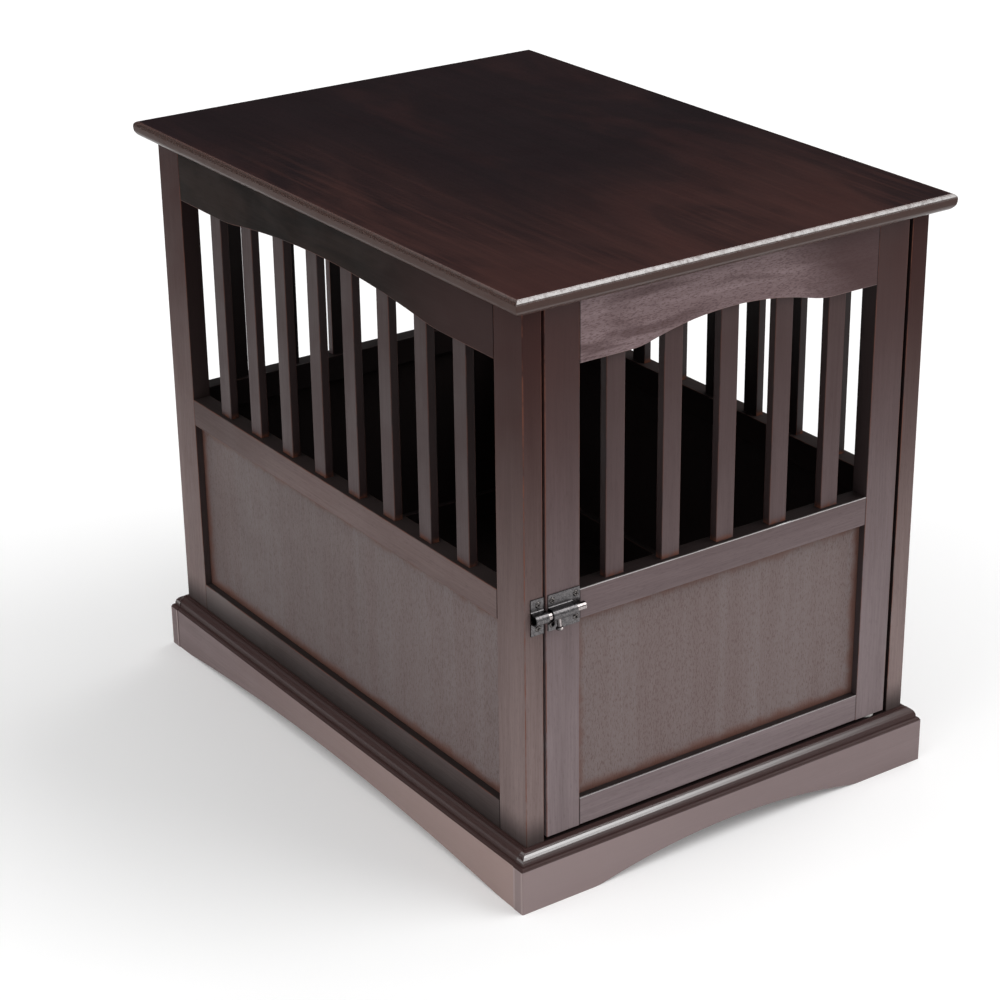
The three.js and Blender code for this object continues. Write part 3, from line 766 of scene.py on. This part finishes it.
TOP_WOOD = WoodFinish(
    "top_lacquer",
    high=(0.0115, 0.0052, 0.0066),
    low=(0.0115, 0.0052, 0.0066),
    dark=(0.0070, 0.0036, 0.0046),
    worn=(0.16, 0.058, 0.040),
    streaks=0.6,
    fibres=0.4,
    pores=0.35,
    rub=0.0,
    coat_high=0.05,
    coat_low=0.05,
    coat_rough=0.2,
    coat_ior=2.5,
    gloss=1.0,
    specular=0.08,
)
SKIRT_WOOD = replace(
    FRAME_WOOD,
    name="skirt_lacquer",
    high=(0.228, 0.170, 0.171),
    low=(0.228, 0.170, 0.171),
    dark=(0.105, 0.066, 0.064),
    streaks=0.25,
    rub=0.0,
    upward_shade=0.0,
    coat_rough=0.2,
    coat_ior=2.8,
    gloss=0.75,
)
# The hidden boards of the base and the cabin, near black: painted shade.
HIDDEN_WOOD = replace(
    FRAME_WOOD,
    name="cabin_shade_wood",
    high=(0.010, 0.0060, 0.0056),
    low=(0.010, 0.0060, 0.0056),
    dark=(0.006, 0.004, 0.004),
    rub=0.0,
    specular=0.1,
    rough=(0.5, 0.65),
)
PANEL_VENEER = replace(
    FRAME_WOOD,
    name="panel_veneer",
    high=(0.150, 0.119, 0.117),
    low=(0.150, 0.119, 0.117),
    dark=(0.075, 0.036, 0.030),
    streaks=0.15,
    fibres=0.1,
    pores=0.0,
    rub=0.0,
    coat_high=0.015,
    coat_low=0.025,
    coat_rough=0.3,
)


@dataclass(frozen=True)
class MetalFinish:
    """A plated metal or a plastic, with a painted dark reflection on faces that look up and faces that look
    left, as strong as its field for it says.
    """

    name: str
    light: Colour
    dark: Colour
    metallic: float
    rough: Span
    relief: float = 0.05
    # How strongly the painted dark reflection darkens faces that look up and faces that look left.
    dark_reflection: float = 0.0

    def material(self, effects: SharedEffects) -> bpy.types.Material:
        """Builds the material.

        Args:
            effects: the shared groups.

        Returns:
            The material.
        """
        made, graph = new_material(self.name)
        where = graph.node("ShaderNodeTexCoord")
        metal = graph.place(effects.mottle, Point=where.outputs["Object"])
        shader = graph.node("ShaderNodeBsdfPrincipled")
        colour = graph.tint(metal.outputs["Blotch"], self.dark, self.light)
        # Painted dark reflection: faces that look up and faces that look left are darkened.
        aside, _, rise = graph.parts(where.outputs["Normal"])
        above = graph.math("MAXIMUM", graph.band(rise, 0.76, 0.90), graph.band(aside, -0.2, -0.65))
        colour = graph.tint(graph.math("MULTIPLY", above, self.dark_reflection), colour, DARK_REFLECTION)
        graph.feed(shader.inputs["Base Color"], colour)
        graph.feed(shader.inputs["Metallic"], self.metallic)
        low, high = self.rough
        rough = graph.math("ADD", graph.math("MULTIPLY", metal.outputs["Line"], high - low), low)
        graph.feed(shader.inputs["Roughness"], rough)
        graph.feed(shader.inputs["Normal"], graph.bump(metal.outputs["Height"], METAL_BUMP, self.relief * MM))
        graph.surface(shader)
        return made


# Both nickels carry the painted dark reflection on their upper and left faces.
DARK_NICKEL = MetalFinish(
    "dark_nickel", (0.165, 0.156, 0.158), (0.090, 0.085, 0.088), 1.0, (0.24, 0.36), dark_reflection=0.85
)
BRIGHT_NICKEL = MetalFinish(
    "bolt_nickel", (0.48, 0.43, 0.42), (0.30, 0.265, 0.262), 1.0, (0.16, 0.26), dark_reflection=0.85
)
PIN_STEEL = MetalFinish("pin_steel", (0.50, 0.50, 0.51), (0.34, 0.34, 0.35), 1.0, (0.28, 0.4))
SCREW_STEEL = MetalFinish("screw_steel", (0.17, 0.155, 0.15), (0.06, 0.055, 0.055), 1.0, (0.16, 0.26))
# Near-black metal for the screws' cross recesses: painted shade.
RECESS_SHADE_STEEL = MetalFinish("screw_recess_shade", (0.02, 0.019, 0.019), (0.008, 0.008, 0.008), 1.0, (0.4, 0.55))
NYLON = MetalFinish("nylon", (0.80, 0.79, 0.76), (0.72, 0.71, 0.68), 0.0, (0.4, 0.5))


@dataclass
class Dresser:
    """Puts materials on the frame's own nodes and on new pieces."""

    nodes: dict[str, bpy.types.Object]
    effects: SharedEffects

    def wear(self, node: str, material: bpy.types.Material) -> None:
        """Gives a node of the frame its material.

        Args:
            node: the node's name.
            material: the material.
        """
        target = self.nodes[node]
        target.data.materials.clear()
        target.data.materials.append(material)
        LOG.info("dressed %s in %s", node, material.name)

    def metal(self, finish: MetalFinish, *names: str) -> None:
        """Gives nodes one metal or plastic.

        Args:
            finish: the finish.
            names: the nodes.
        """
        made = finish.material(self.effects)
        for name in names:
            self.wear(name, made)

    def wood(self, finish: WoodFinish, board: Board, seams: bool = False) -> None:
        """Gives a board its wood.

        Args:
            finish: the finish.
            board: the board.
            seams: whether it is butted at both ends, with a glue line there.
        """
        coat = finish.start(board, self.effects)
        if seams:
            coat.seam(board.grain)
        self.wear(board.node, coat.done())


@dataclass
class TableTop:
    """The moulded table top."""

    warm: Colour = (0.050, 0.0195, 0.0165)
    red: Colour = (0.034, 0.0120, 0.0112)
    bared: Colour = (0.135, 0.062, 0.050)
    nose: Colour = (0.068, 0.037, 0.030)

    def dress(self, dresser: Dresser) -> None:
        """Stains the top near black, with red where the stain was wiped thin towards the front.

        Args:
            dresser: what puts the materials on.
        """
        board = Board("table_top", Axis.Y, Axis.Z, 3)
        coat = TOP_WOOD.start(board, dresser.effects)
        graph = coat.graph
        x, y, _ = graph.parts(coat.point)
        lean = graph.math("ADD", y, graph.math("MULTIPLY", x, -0.15))
        left = graph.math("MULTIPLY", graph.band(x, -0.06, -0.23), graph.band(y, 0.30, -0.05))
        front = graph.math("MAXIMUM", graph.band(lean, -0.02, -0.36), left)
        patches = graph.noise(graph.vector("MULTIPLY", coat.point, (9.0, 2.6, 9.0)), 1.0, 4.0, 0.6, 0.7)
        wiped = graph.math("MULTIPLY", front, graph.band(patches, 0.28, 0.62))
        coat.lay(wiped, 0.75, self.warm)
        coat.lay(graph.band(patches, 0.5, 0.7), 0.35, self.red)
        fine = graph.noise(graph.vector("MULTIPLY", coat.point, (210.0, 6.0, 60.0)), 1.0, 3.0, 0.6)
        coat.lay(graph.math("MULTIPLY", graph.band(fine, 0.42, 0.7), front), 0.5, self.warm)
        coat.lay(graph.band(coat.rise, 0.97, 0.85), 0.85, self.nose)
        line = graph.math("MULTIPLY", graph.band(coat.rise, 0.996, 0.975), graph.band(coat.rise, 0.88, 0.93))
        coat.lay(line, 0.5, self.bared)
        coat.mould(graph.band(coat.rise, 0.998, 0.98), 0.5, 0.6, 0.04)
        dresser.wear(board.node, coat.done())


@dataclass(frozen=True)
class Drift:
    """How the colour of a rail changes along the crate: from where to where along Y, how much and to what."""

    span: Span
    strength: float
    colour: Colour


@dataclass
class SideFrame:
    """One side frame of the cabin."""

    side: str
    inward: float
    slats: int = 8
    seed: int = 10
    slat_tone: float = 0.72
    bottom_tone: float = 0.42
    top_drift: Drift = Drift((-0.05, -0.26), 0.8, (0.048, 0.026, 0.025))
    middle_drift: Drift = Drift((0.02, 0.30), 0.45, (0.020, 0.010, 0.009))
    bottom_drift: Drift = Drift((0.12, 0.26), 0.8, (0.205, 0.167, 0.161))

    def board(self, part: str, grain: Axis, seed: int) -> Board:
        """A board of this frame, by its name after the side's, its grain and its cut of wood."""
        return Board(f"{self.side}_{part}", grain, Axis.X, self.seed + seed, Axis.X.unit(self.inward))

    def rail(self, finish: WoodFinish, part: str, seed: int, drift: Drift, dresser: Dresser) -> None:
        """Finishes a rail whose colour changes along the crate.

        Args:
            finish: the finish.
            part: its name after the side's.
            seed: which cut of wood it is.
            drift: how its colour changes.
            dresser: what puts the materials on.
        """
        board = self.board(part, Axis.Y, seed)
        coat = finish.start(board, dresser.effects)
        along = coat.graph.parts(coat.point)[1]
        coat.lay(coat.graph.band(along, *drift.span), drift.strength, drift.colour)
        coat.seam(Axis.Y)
        dresser.wear(board.node, coat.done())

    def dress(self, dresser: Dresser) -> None:
        """Finishes the frame's boards.

        Args:
            dresser: what puts the materials on.
        """
        for index, (part, way) in enumerate((("front_stile", 1.0), ("rear_stile", -1.0))):
            stile = replace(self.board(part, Axis.Z, 1 + index), edge=Axis.Y.unit(way))
            dresser.wood(SIDE_WOOD, stile)
        self.rail(RAIL_DARK, "top_rail", 3, self.top_drift, dresser)
        self.rail(SIDE_WOOD, "middle_rail", 4, self.middle_drift, dresser)
        self.rail(SIDE_WOOD.toned(self.bottom_tone), "bottom_rail", 5, self.bottom_drift, dresser)
        inside = Axis.X.unit(self.inward)
        for index in range(1, self.slats + 1):
            slat = Slat(f"{self.side}_slat_{index}", Axis.X, self.seed + 5 + index, inside, self.slat_tone)
            slat.dress(dresser)
        Panel(f"{self.side}_panel", Axis.X, self.seed + 20, inside).dress(dresser)


@dataclass
class Slat:
    """One slat between a middle rail and a top rail."""

    node: str
    thick: Axis
    seed: int
    inside: Vector
    tone: float = 1.0
    foot: float = 0.312
    worn: float = 7 * MM
    ember: Colour = (0.19, 0.065, 0.035)
    # Colour of the painted shade on the slat's sides between the slats.
    flank_shade: Colour = (0.016, 0.0085, 0.0085)

    def dress(self, dresser: Dresser) -> None:
        """Finishes the slat, with painted shade on its sides between the slats, and its stain rubbed to
        orange at the foot.

        Args:
            dresser: what puts the materials on.
        """
        board = Board(self.node, Axis.Z, self.thick, self.seed, self.inside)
        coat = SLAT_WOOD.toned(self.tone).start(board, dresser.effects)
        graph = coat.graph
        across = Axis.Y if self.thick is Axis.X else Axis.X
        aside = graph.math("ABSOLUTE", graph.vector("DOT_PRODUCT", coat.normal, across.unit()))
        # Painted shade on the sides that face the next slats.
        coat.lay(graph.band(aside, 0.5, 0.85), 0.78, self.flank_shade)
        low = graph.band(coat.height, self.foot + self.worn, self.foot - 1 * MM)
        worn = graph.math("MULTIPLY", low, graph.band(graph.noise(coat.point, 160.0, 3.0), 0.3, 0.62))
        coat.lay(worn, 0.8, self.ember)
        dresser.wear(self.node, coat.done())


@dataclass
class Panel:
    """One veneered panel in its grooves."""

    node: str
    thick: Axis
    seed: int
    inside: Vector
    tone: float = 1.0
    groove: float = 6 * MM
    rim_depth: float = 6 * MM
    rim_fray: float = 14 * MM
    rim: Colour = (0.13, 0.05, 0.032)
    pale: Colour = (0.215, 0.172, 0.170)
    stripe: Colour = (0.125, 0.072, 0.066)

    def dress(self, dresser: Dresser) -> None:
        """Finishes the panel: pores that run upright, faint bands, and a redder rim by the frame.

        Args:
            dresser: what puts the materials on.
        """
        board = Board(self.node, Axis.Z, self.thick, self.seed, self.inside)
        coat = PANEL_VENEER.toned(self.tone).start(board, dresser.effects)
        graph = coat.graph
        leaf = graph.place(dresser.effects.veneer, Point=coat.lie)
        along = graph.parts(coat.point)[1 if self.thick is Axis.X else 0]
        coat.lay(graph.band(along, 0.05, -0.27), 0.5 if self.thick is Axis.X else 0.12, self.pale)
        coat.lay(leaf.outputs["Band"], 0.22, self.stripe)
        coat.lay(leaf.outputs["Tick"], 0.5, coat.finish.dark)
        centre, half = board.box()
        half = half - Vector((self.groove, self.groove, self.groove))
        half[self.thick.value] = 1.0
        edge = graph.place(dresser.effects.reach, Point=coat.point, Centre=centre, Half=half)
        broken = graph.math("MULTIPLY", graph.noise(coat.point, 60.0, 3.0), self.rim_fray)
        away = graph.math("SUBTRACT", edge.outputs["Nearest"], broken)
        coat.lay(graph.band(away, self.rim_depth, -self.rim_depth), 0.75, self.rim)
        coat.heights.append((leaf.outputs["Height"], 0.35))
        dresser.wear(self.node, coat.done())


@dataclass
class BackFrame:
    """The fixed frame at the back of the cabin."""

    seed: int = 60

    def dress(self, dresser: Dresser) -> None:
        """Finishes the frame's boards.

        Args:
            dresser: what puts the materials on.
        """
        inside = Axis.Y.unit(-1)
        for index, part in enumerate(("back_top_rail", "back_middle_rail", "back_bottom_rail")):
            dresser.wood(FRAME_WOOD, Board(part, Axis.X, Axis.Y, self.seed + index, inside), seams=True)
        Panel("back_panel", Axis.Y, self.seed + 4, inside).dress(dresser)


@dataclass
class Door:
    """The swinging door."""

    slats: int = 5
    seed: int = 80
    heart: Colour = (0.054, 0.0225, 0.0222)
    rail_tone: float = 1.12
    panel_tone: float = 1.24

    def dress(self, dresser: Dresser) -> None:
        """Finishes the door's boards.

        Args:
            dresser: what puts the materials on.
        """
        inside = Axis.Y.unit(1)
        for index, (part, way) in enumerate((("door_latch_stile", 1.0), ("door_hinge_stile", -1.0))):
            stile = Board(part, Axis.Z, Axis.Y, self.seed + index, inside, Axis.X.unit(way))
            dresser.wood(FRAME_WOOD, stile)
        board = Board("door_top_rail", Axis.X, Axis.Y, self.seed + 2, inside)
        rail = RAIL_FIGURED.toned(self.rail_tone).start(board, dresser.effects)
        graph = rail.graph
        slant = graph.vector("MULTIPLY", rail.point, (5.5, 30.0, 30.0))
        waves = graph.noise(graph.vector("ADD", slant, (0.0, 0.0, 3.1)), 1.0, 2.0, 0.5, 0.9)
        rail.lay(graph.band(waves, 0.52, 0.66), 0.62, self.heart)
        leaf = graph.place(dresser.effects.veneer, Point=rail.lie)
        rail.lay(leaf.outputs["Tick"], 0.5, self.heart)
        across = graph.math("ADD", graph.parts(rail.point)[0], graph.math("MULTIPLY", rail.height, 0.8))
        rail.lay(graph.band(across, 0.50, 0.59), 0.9, self.heart)
        rail.seam(Axis.X)
        dresser.wear(board.node, rail.done())
        # Painted highlight on the upper arrises of the door's middle and bottom rails, this strong.
        for index, (part, strength) in enumerate((("door_middle_rail", 0.9), ("door_bottom_rail", 0.4))):
            board = Board(part, Axis.X, Axis.Y, self.seed + 3 + index, inside)
            coat = RAIL_BRIGHT.start(board, dresser.effects)
            coat.seam(Axis.X)
            coat.paint_arris_highlight(strength)
            dresser.wear(part, coat.done(rubbed=False))
        for index in range(1, self.slats + 1):
            Slat(f"door_slat_{index}", Axis.Y, self.seed + 5 + index, inside).dress(dresser)
        Panel("door_panel", Axis.Y, self.seed + 20, inside, self.panel_tone).dress(dresser)


# The boards of the base: each one's node, its grain and its thickness.
SKIRTS = (
    ("front_skirt", Axis.X, Axis.Y),
    ("back_skirt", Axis.X, Axis.Y),
    ("left_skirt", Axis.Y, Axis.X),
    ("right_skirt", Axis.Y, Axis.X),
)
HIDDEN_BOARDS = (
    ("front_sill", Axis.X, Axis.Y),
    ("floor_panel", Axis.Y, Axis.Z),
    ("left_floor_cleat", Axis.Y, Axis.X),
    ("right_floor_cleat", Axis.Y, Axis.X),
    ("door_stop", Axis.Z, Axis.Y),
)


@dataclass
class Base:
    """The skirted base and the cabin's floor."""

    moulding_foot: float = 45.8 * MM
    seed: int = 120
    moulding: Colour = (0.040, 0.0175, 0.0160)
    end_grain: Colour = (0.42, 0.33, 0.32)
    pale: Colour = (0.290, 0.222, 0.220)
    warm: Colour = (0.392, 0.281, 0.258)
    shaded: Colour = (0.165, 0.125, 0.127)
    side_shine: float = 0.15

    def skirt(self, node: str, grain: Axis, thick: Axis, seed: int, dresser: Dresser) -> None:
        """Finishes one skirt board: a pale face, and a darker and glossier moulding over it.

        Args:
            node: the board.
            grain: the way of its grain.
            thick: the axis of its thickness.
            seed: which cut of wood it is.
            dresser: what puts the materials on.
        """
        board = Board(node, grain, thick, seed)
        coat = SKIRT_WOOD.start(board, dresser.effects)
        graph = coat.graph
        x, y, _ = graph.parts(coat.point)
        nearer = graph.math("ADD", graph.math("MULTIPLY", x, 0.8), y)
        coat.lay(graph.band(nearer, 0.15, -0.5), 0.85, self.pale if grain is Axis.X else self.warm)
        side = graph.math("ABSOLUTE", graph.vector("DOT_PRODUCT", coat.normal, grain.unit()))
        end = graph.band(side, 0.7, 0.95)
        edge = graph.band(coat.reach.outputs[thick.name], 3.4 * MM, 1.6 * MM)
        if grain is Axis.X:
            coat.lay(graph.band(x, -0.16, 0.02), 0.2, self.shaded)
        coat.lay(graph.math("MULTIPLY", end, edge), 0.75, self.end_grain)
        above = graph.band(coat.height, self.moulding_foot - 0.3 * MM, self.moulding_foot + 0.3 * MM)
        coat.lay(above, 0.97, self.moulding)
        ovolo = graph.band(coat.height, self.moulding_foot + 3.6 * MM, self.moulding_foot + 4.6 * MM)
        lit = graph.band(x, 0.30, -0.26) if grain is Axis.X else self.side_shine
        coat.mould(graph.math("MULTIPLY", ovolo, lit), 0.0, 0.3, 0.03)
        dresser.wear(node, coat.done())

    def dress(self, dresser: Dresser) -> None:
        """Finishes the base's boards.

        Args:
            dresser: what puts the materials on.
        """
        for index, (node, grain, thick) in enumerate(SKIRTS):
            self.skirt(node, grain, thick, self.seed + index, dresser)
        for index, (node, grain, thick) in enumerate(HIDDEN_BOARDS, start=len(SKIRTS)):
            dresser.wood(HIDDEN_WOOD, Board(node, grain, thick, self.seed + index))


# The outline of a screw's head above its plate: shares of its radius and of its height.
HEAD_OUTLINE = ((1.0, 0.08), (0.96, 0.32), (0.87, 0.62), (0.76, 0.88), (0.66, 1.0))


@dataclass
class Screw:
    """One pan-headed screw with a cross recess, driven home through a plate."""

    name: str
    seat: Vector
    body: str
    turn: float
    radius: float = 3.25 * MM
    crown: float = 1.15 * MM
    sunk: float = 0.35 * MM
    neck: float = 0.9
    arm: float = 1.75 * MM
    slit: float = 0.46 * MM
    recess: float = 0.75 * MM
    steps: int = 28

    def head(self, shape: bmesh.types.BMesh) -> None:
        """Spins the head's outline, closes its foot, and leaves its crown open.

        Args:
            shape: the mesh in hand, with the screw's axis along Z and the plate's face at 0.
        """
        outline = [(self.radius * self.neck, -self.sunk)]
        outline += [(self.radius * across, self.crown * height) for across, height in HEAD_OUTLINE]
        points = [shape.verts.new((across, 0.0, height)) for across, height in outline]
        edges = [shape.edges.new(pair) for pair in zip(points, points[1:])]
        bmesh.ops.spin(
            shape,
            geom=points + edges,
            cent=(0, 0, 0),
            axis=(0, 0, 1),
            angle=math.tau,
            steps=self.steps,
            use_merge=True,
        )
        for face in shape.faces:
            face.smooth = True
        foot = [edge for edge in shape.edges if edge.is_boundary and edge.verts[0].co.z < 0.0]
        bmesh.ops.contextual_create(shape, geom=foot)

    def cross(self, shape: bmesh.types.BMesh) -> None:
        """Closes the crown round a cross, and sinks the cross into the head.

        Args:
            shape: the mesh in hand.
        """
        ring = [edge for edge in shape.edges if edge.is_boundary]
        quarter = [(self.arm, -self.slit), (self.arm, self.slit), (self.slit, self.slit)]
        points = []
        for step in range(4):
            spin = Matrix.Rotation(step * math.pi / 2, 2)
            points += [shape.verts.new((*(spin @ Vector(corner)), self.crown)) for corner in quarter]
        mouth = [shape.edges.new(pair) for pair in zip(points, points[1:] + points[:1])]
        bmesh.ops.triangle_fill(shape, edges=ring + mouth, use_beauty=True, normal=(0, 0, 1))
        pit = bmesh.ops.extrude_edge_only(shape, edges=mouth)["geom"]
        low = [item for item in pit if isinstance(item, bmesh.types.BMVert)]
        bmesh.ops.translate(shape, verts=low, vec=(0, 0, -self.recess))
        floor = [item for item in pit if isinstance(item, bmesh.types.BMEdge)]
        bmesh.ops.contextual_create(shape, geom=floor)
        # The faces deep in the cross take the second material, painted shade.
        for face in shape.faces:
            central = all(math.hypot(*point.co.xy) < self.arm * 1.1 for point in face.verts)
            if central and min(point.co.z for point in face.verts) < self.crown / 2:
                face.material_index = 1

    def build(self, dresser: Dresser) -> None:
        """Makes the screw, stands it on its plate and hangs it on its body.

        Args:
            dresser: what holds the shared groups.
        """
        shape = bmesh.new()
        self.head(shape)
        self.cross(shape)
        bmesh.ops.recalc_face_normals(shape, faces=shape.faces)
        stand = Matrix.Rotation(math.pi / 2, 4, "X") @ Matrix.Rotation(self.turn, 4, "Z")
        bmesh.ops.transform(shape, matrix=Matrix.Translation(self.seat) @ stand, verts=shape.verts)
        mesh = bpy.data.meshes.new(self.name)
        shape.to_mesh(mesh)
        shape.free()
        # The second material is the painted shade of the cross recess.
        for finish in (SCREW_STEEL, RECESS_SHADE_STEEL):
            mesh.materials.append(bpy.data.materials.get(finish.name) or finish.material(dresser.effects))
        screw = bpy.data.objects.new(self.name, mesh)
        bpy.context.scene.collection.objects.link(screw)
        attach(screw, self.body)
        LOG.info("built %s with %d faces", self.name, len(mesh.polygons))


@dataclass
class Hardware:
    """The barrel bolt, its keeper and the door's pivots."""

    sheet: float = 1.2 * MM
    plate_reach: float = 13.1 * MM
    keeper_x: float = -221.4 * MM
    screws_high: float = 310.2 * MM
    screws_low: float = 286.6 * MM
    first_turn: float = 0.3
    next_turn: float = 0.55

    def screws(self, dresser: Dresser) -> None:
        """Drives the four screws of the bolt's plate and the two of the keeper.

        Args:
            dresser: what holds the shared groups.
        """
        low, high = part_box("latch_body")
        stile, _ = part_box("door_latch_stile")
        face = stile.y - self.sheet
        middle = (low.x + high.x) / 2
        turn = self.first_turn
        for name, across, body in (
            ("plate_screw_left", middle - self.plate_reach, "door"),
            ("plate_screw_right", middle + self.plate_reach, "door"),
            ("keeper_screw", self.keeper_x, "carcass"),
        ):
            for level, height in (("upper", self.screws_high), ("lower", self.screws_low)):
                Screw(f"{name}_{level}", Vector((across, face, height)), body, turn).build(dresser)
                turn += self.next_turn

    def dress(self, dresser: Dresser) -> None:
        """Finishes the metal and plastic pieces.

        Args:
            dresser: what puts the materials on.
        """
        dresser.metal(DARK_NICKEL, "latch_body", "latch_keeper")
        dresser.metal(BRIGHT_NICKEL, "latch_bolt", "latch_knob")
        dresser.metal(PIN_STEEL, "lower_pivot_pin", "upper_pivot_pin")
        dresser.metal(NYLON, "pivot_washer")
        self.screws(dresser)


@dataclass(frozen=True)
class Lamp:
    """One far soft lamp: the way to it, its strength, and how wide it looks in degrees."""

    name: str
    towards: Way
    strength: float
    angle: float


LAMPS = (
    Lamp("key", (0.60, -0.47, 0.64), 1.3, 44.0),
    Lamp("fill", (-0.78, 0.05, 0.62), 0.6, 50.0),
    Lamp("strip", (0.54, 0.10, 0.83), 0.45, 26.0),
)


@dataclass
class Studio:
    """The floor, the light and the camera."""

    eye: Vector = field(default_factory=lambda: Vector((-1.4073, -2.0080, 1.3298)))
    yaw: float = 0.5998
    pitch: float = 0.4197
    roll: float = -0.0130
    lens: float = 91.96
    floor_size: float = 90.0
    paper: Colour = (0.86, 0.86, 0.86)
    paper_glow: float = 0.14
    ceiling: float = 1.25
    ceiling_span: Span = (0.52, 0.86)
    wall: float = 0.34
    wall_span: Span = (-0.1, 0.75)
    wall_way: Way = (-0.51, -0.86, 0.0)
    gloom: float = 0.05

    def camera(self) -> None:
        """Stands the camera near the photograph's point of view."""
        ahead = Vector((math.sin(self.yaw), math.cos(self.yaw), 0.0))
        forward = ahead * math.cos(self.pitch) - Vector((0.0, 0.0, math.sin(self.pitch)))
        level = Vector((math.cos(self.yaw), -math.sin(self.yaw), 0.0))
        upright = level.cross(forward)
        right = level * math.cos(self.roll) + upright * math.sin(self.roll)
        up = upright * math.cos(self.roll) - level * math.sin(self.roll)
        data = bpy.data.cameras.new("camera")
        data.sensor_width = 36.0
        data.lens = self.lens
        data.clip_start = 0.05
        data.clip_end = 200.0
        camera = bpy.data.objects.new("camera", data)
        turn = Matrix((right, up, -forward)).transposed().to_4x4()
        camera.matrix_world = Matrix.Translation(self.eye) @ turn
        bpy.context.scene.collection.objects.link(camera)
        bpy.context.scene.camera = camera

    def floor(self) -> None:
        """Lays the white floor."""
        mesh = bpy.data.meshes.new("floor")
        shape = bmesh.new()
        bmesh.ops.create_grid(shape, x_segments=1, y_segments=1, size=self.floor_size / 2)
        shape.to_mesh(mesh)
        shape.free()
        floor = bpy.data.objects.new("floor", mesh)
        bpy.context.scene.collection.objects.link(floor)
        paper, graph = new_material("white_paper")
        diffuse = graph.node("ShaderNodeBsdfDiffuse")
        graph.feed(diffuse.inputs["Color"], self.paper)
        glow = graph.node("ShaderNodeEmission")
        ray = graph.node("ShaderNodeLightPath")
        seen = graph.math("MAXIMUM", ray.outputs["Is Camera Ray"], ray.outputs["Is Glossy Ray"])
        seen = graph.math("MAXIMUM", seen, ray.outputs["Is Transmission Ray"])
        graph.feed(glow.inputs["Strength"], graph.math("MULTIPLY", seen, self.paper_glow))
        both = graph.node("ShaderNodeAddShader")
        graph.feed(both.inputs[0], diffuse.outputs[0])
        graph.feed(both.inputs[1], glow.outputs[0])
        graph.surface(both)
        mesh.materials.append(paper)

    def hang(self, lamp: Lamp) -> None:
        """Hangs one lamp.

        Args:
            lamp: the lamp.
        """
        data = bpy.data.lights.new(lamp.name, "SUN")
        data.energy = lamp.strength
        data.angle = math.radians(lamp.angle)
        hung = bpy.data.objects.new(lamp.name, data)
        hung.rotation_mode = "QUATERNION"
        hung.rotation_quaternion = (-Vector(lamp.towards)).to_track_quat("-Z", "Y")
        bpy.context.scene.collection.objects.link(hung)

    def room(self) -> None:
        """Paints the room: a bright ceiling, a lighter wall behind the camera and a dim one across."""
        world = bpy.data.worlds.new("studio")
        bpy.context.scene.world = world
        world.use_nodes = True
        world.node_tree.nodes.clear()
        graph = Graph(world.node_tree)
        way = graph.node("ShaderNodeTexCoord").outputs["Generated"]
        height = graph.parts(way)[2]
        ceiling = graph.band(height, *self.ceiling_span)
        behind = graph.band(graph.vector("DOT_PRODUCT", way, self.wall_way), *self.wall_span)
        light = graph.math("MULTIPLY", ceiling, self.ceiling)
        light = graph.math("ADD", light, graph.math("MULTIPLY", behind, self.wall))
        light = graph.math("ADD", light, self.gloom)
        glow = graph.node("ShaderNodeBackground")
        graph.feed(glow.inputs["Strength"], light)
        out = graph.node("ShaderNodeOutputWorld")
        graph.feed(out.inputs["Surface"], glow.outputs[0])

    def build(self) -> None:
        """Builds the whole studio."""
        self.camera()
        self.floor()
        self.room()
        for lamp in LAMPS:
            self.hang(lamp)
        bpy.context.scene.view_settings.view_transform = "Standard"
        LOG.info("built the studio")


def main() -> None:
    """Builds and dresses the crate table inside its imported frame."""
    logging.basicConfig(level=logging.INFO, format="%(message)s")
    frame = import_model()
    dresser = Dresser(frame["nodes"], SharedEffects())
    Studio().build()
    TableTop().dress(dresser)
    SideFrame("left", 1.0).dress(dresser)
    SideFrame("right", -1.0, seed=35).dress(dresser)
    BackFrame().dress(dresser)
    Door().dress(dresser)
    Base().dress(dresser)
    Hardware().dress(dresser)


if __name__ == "__main__":
    main()
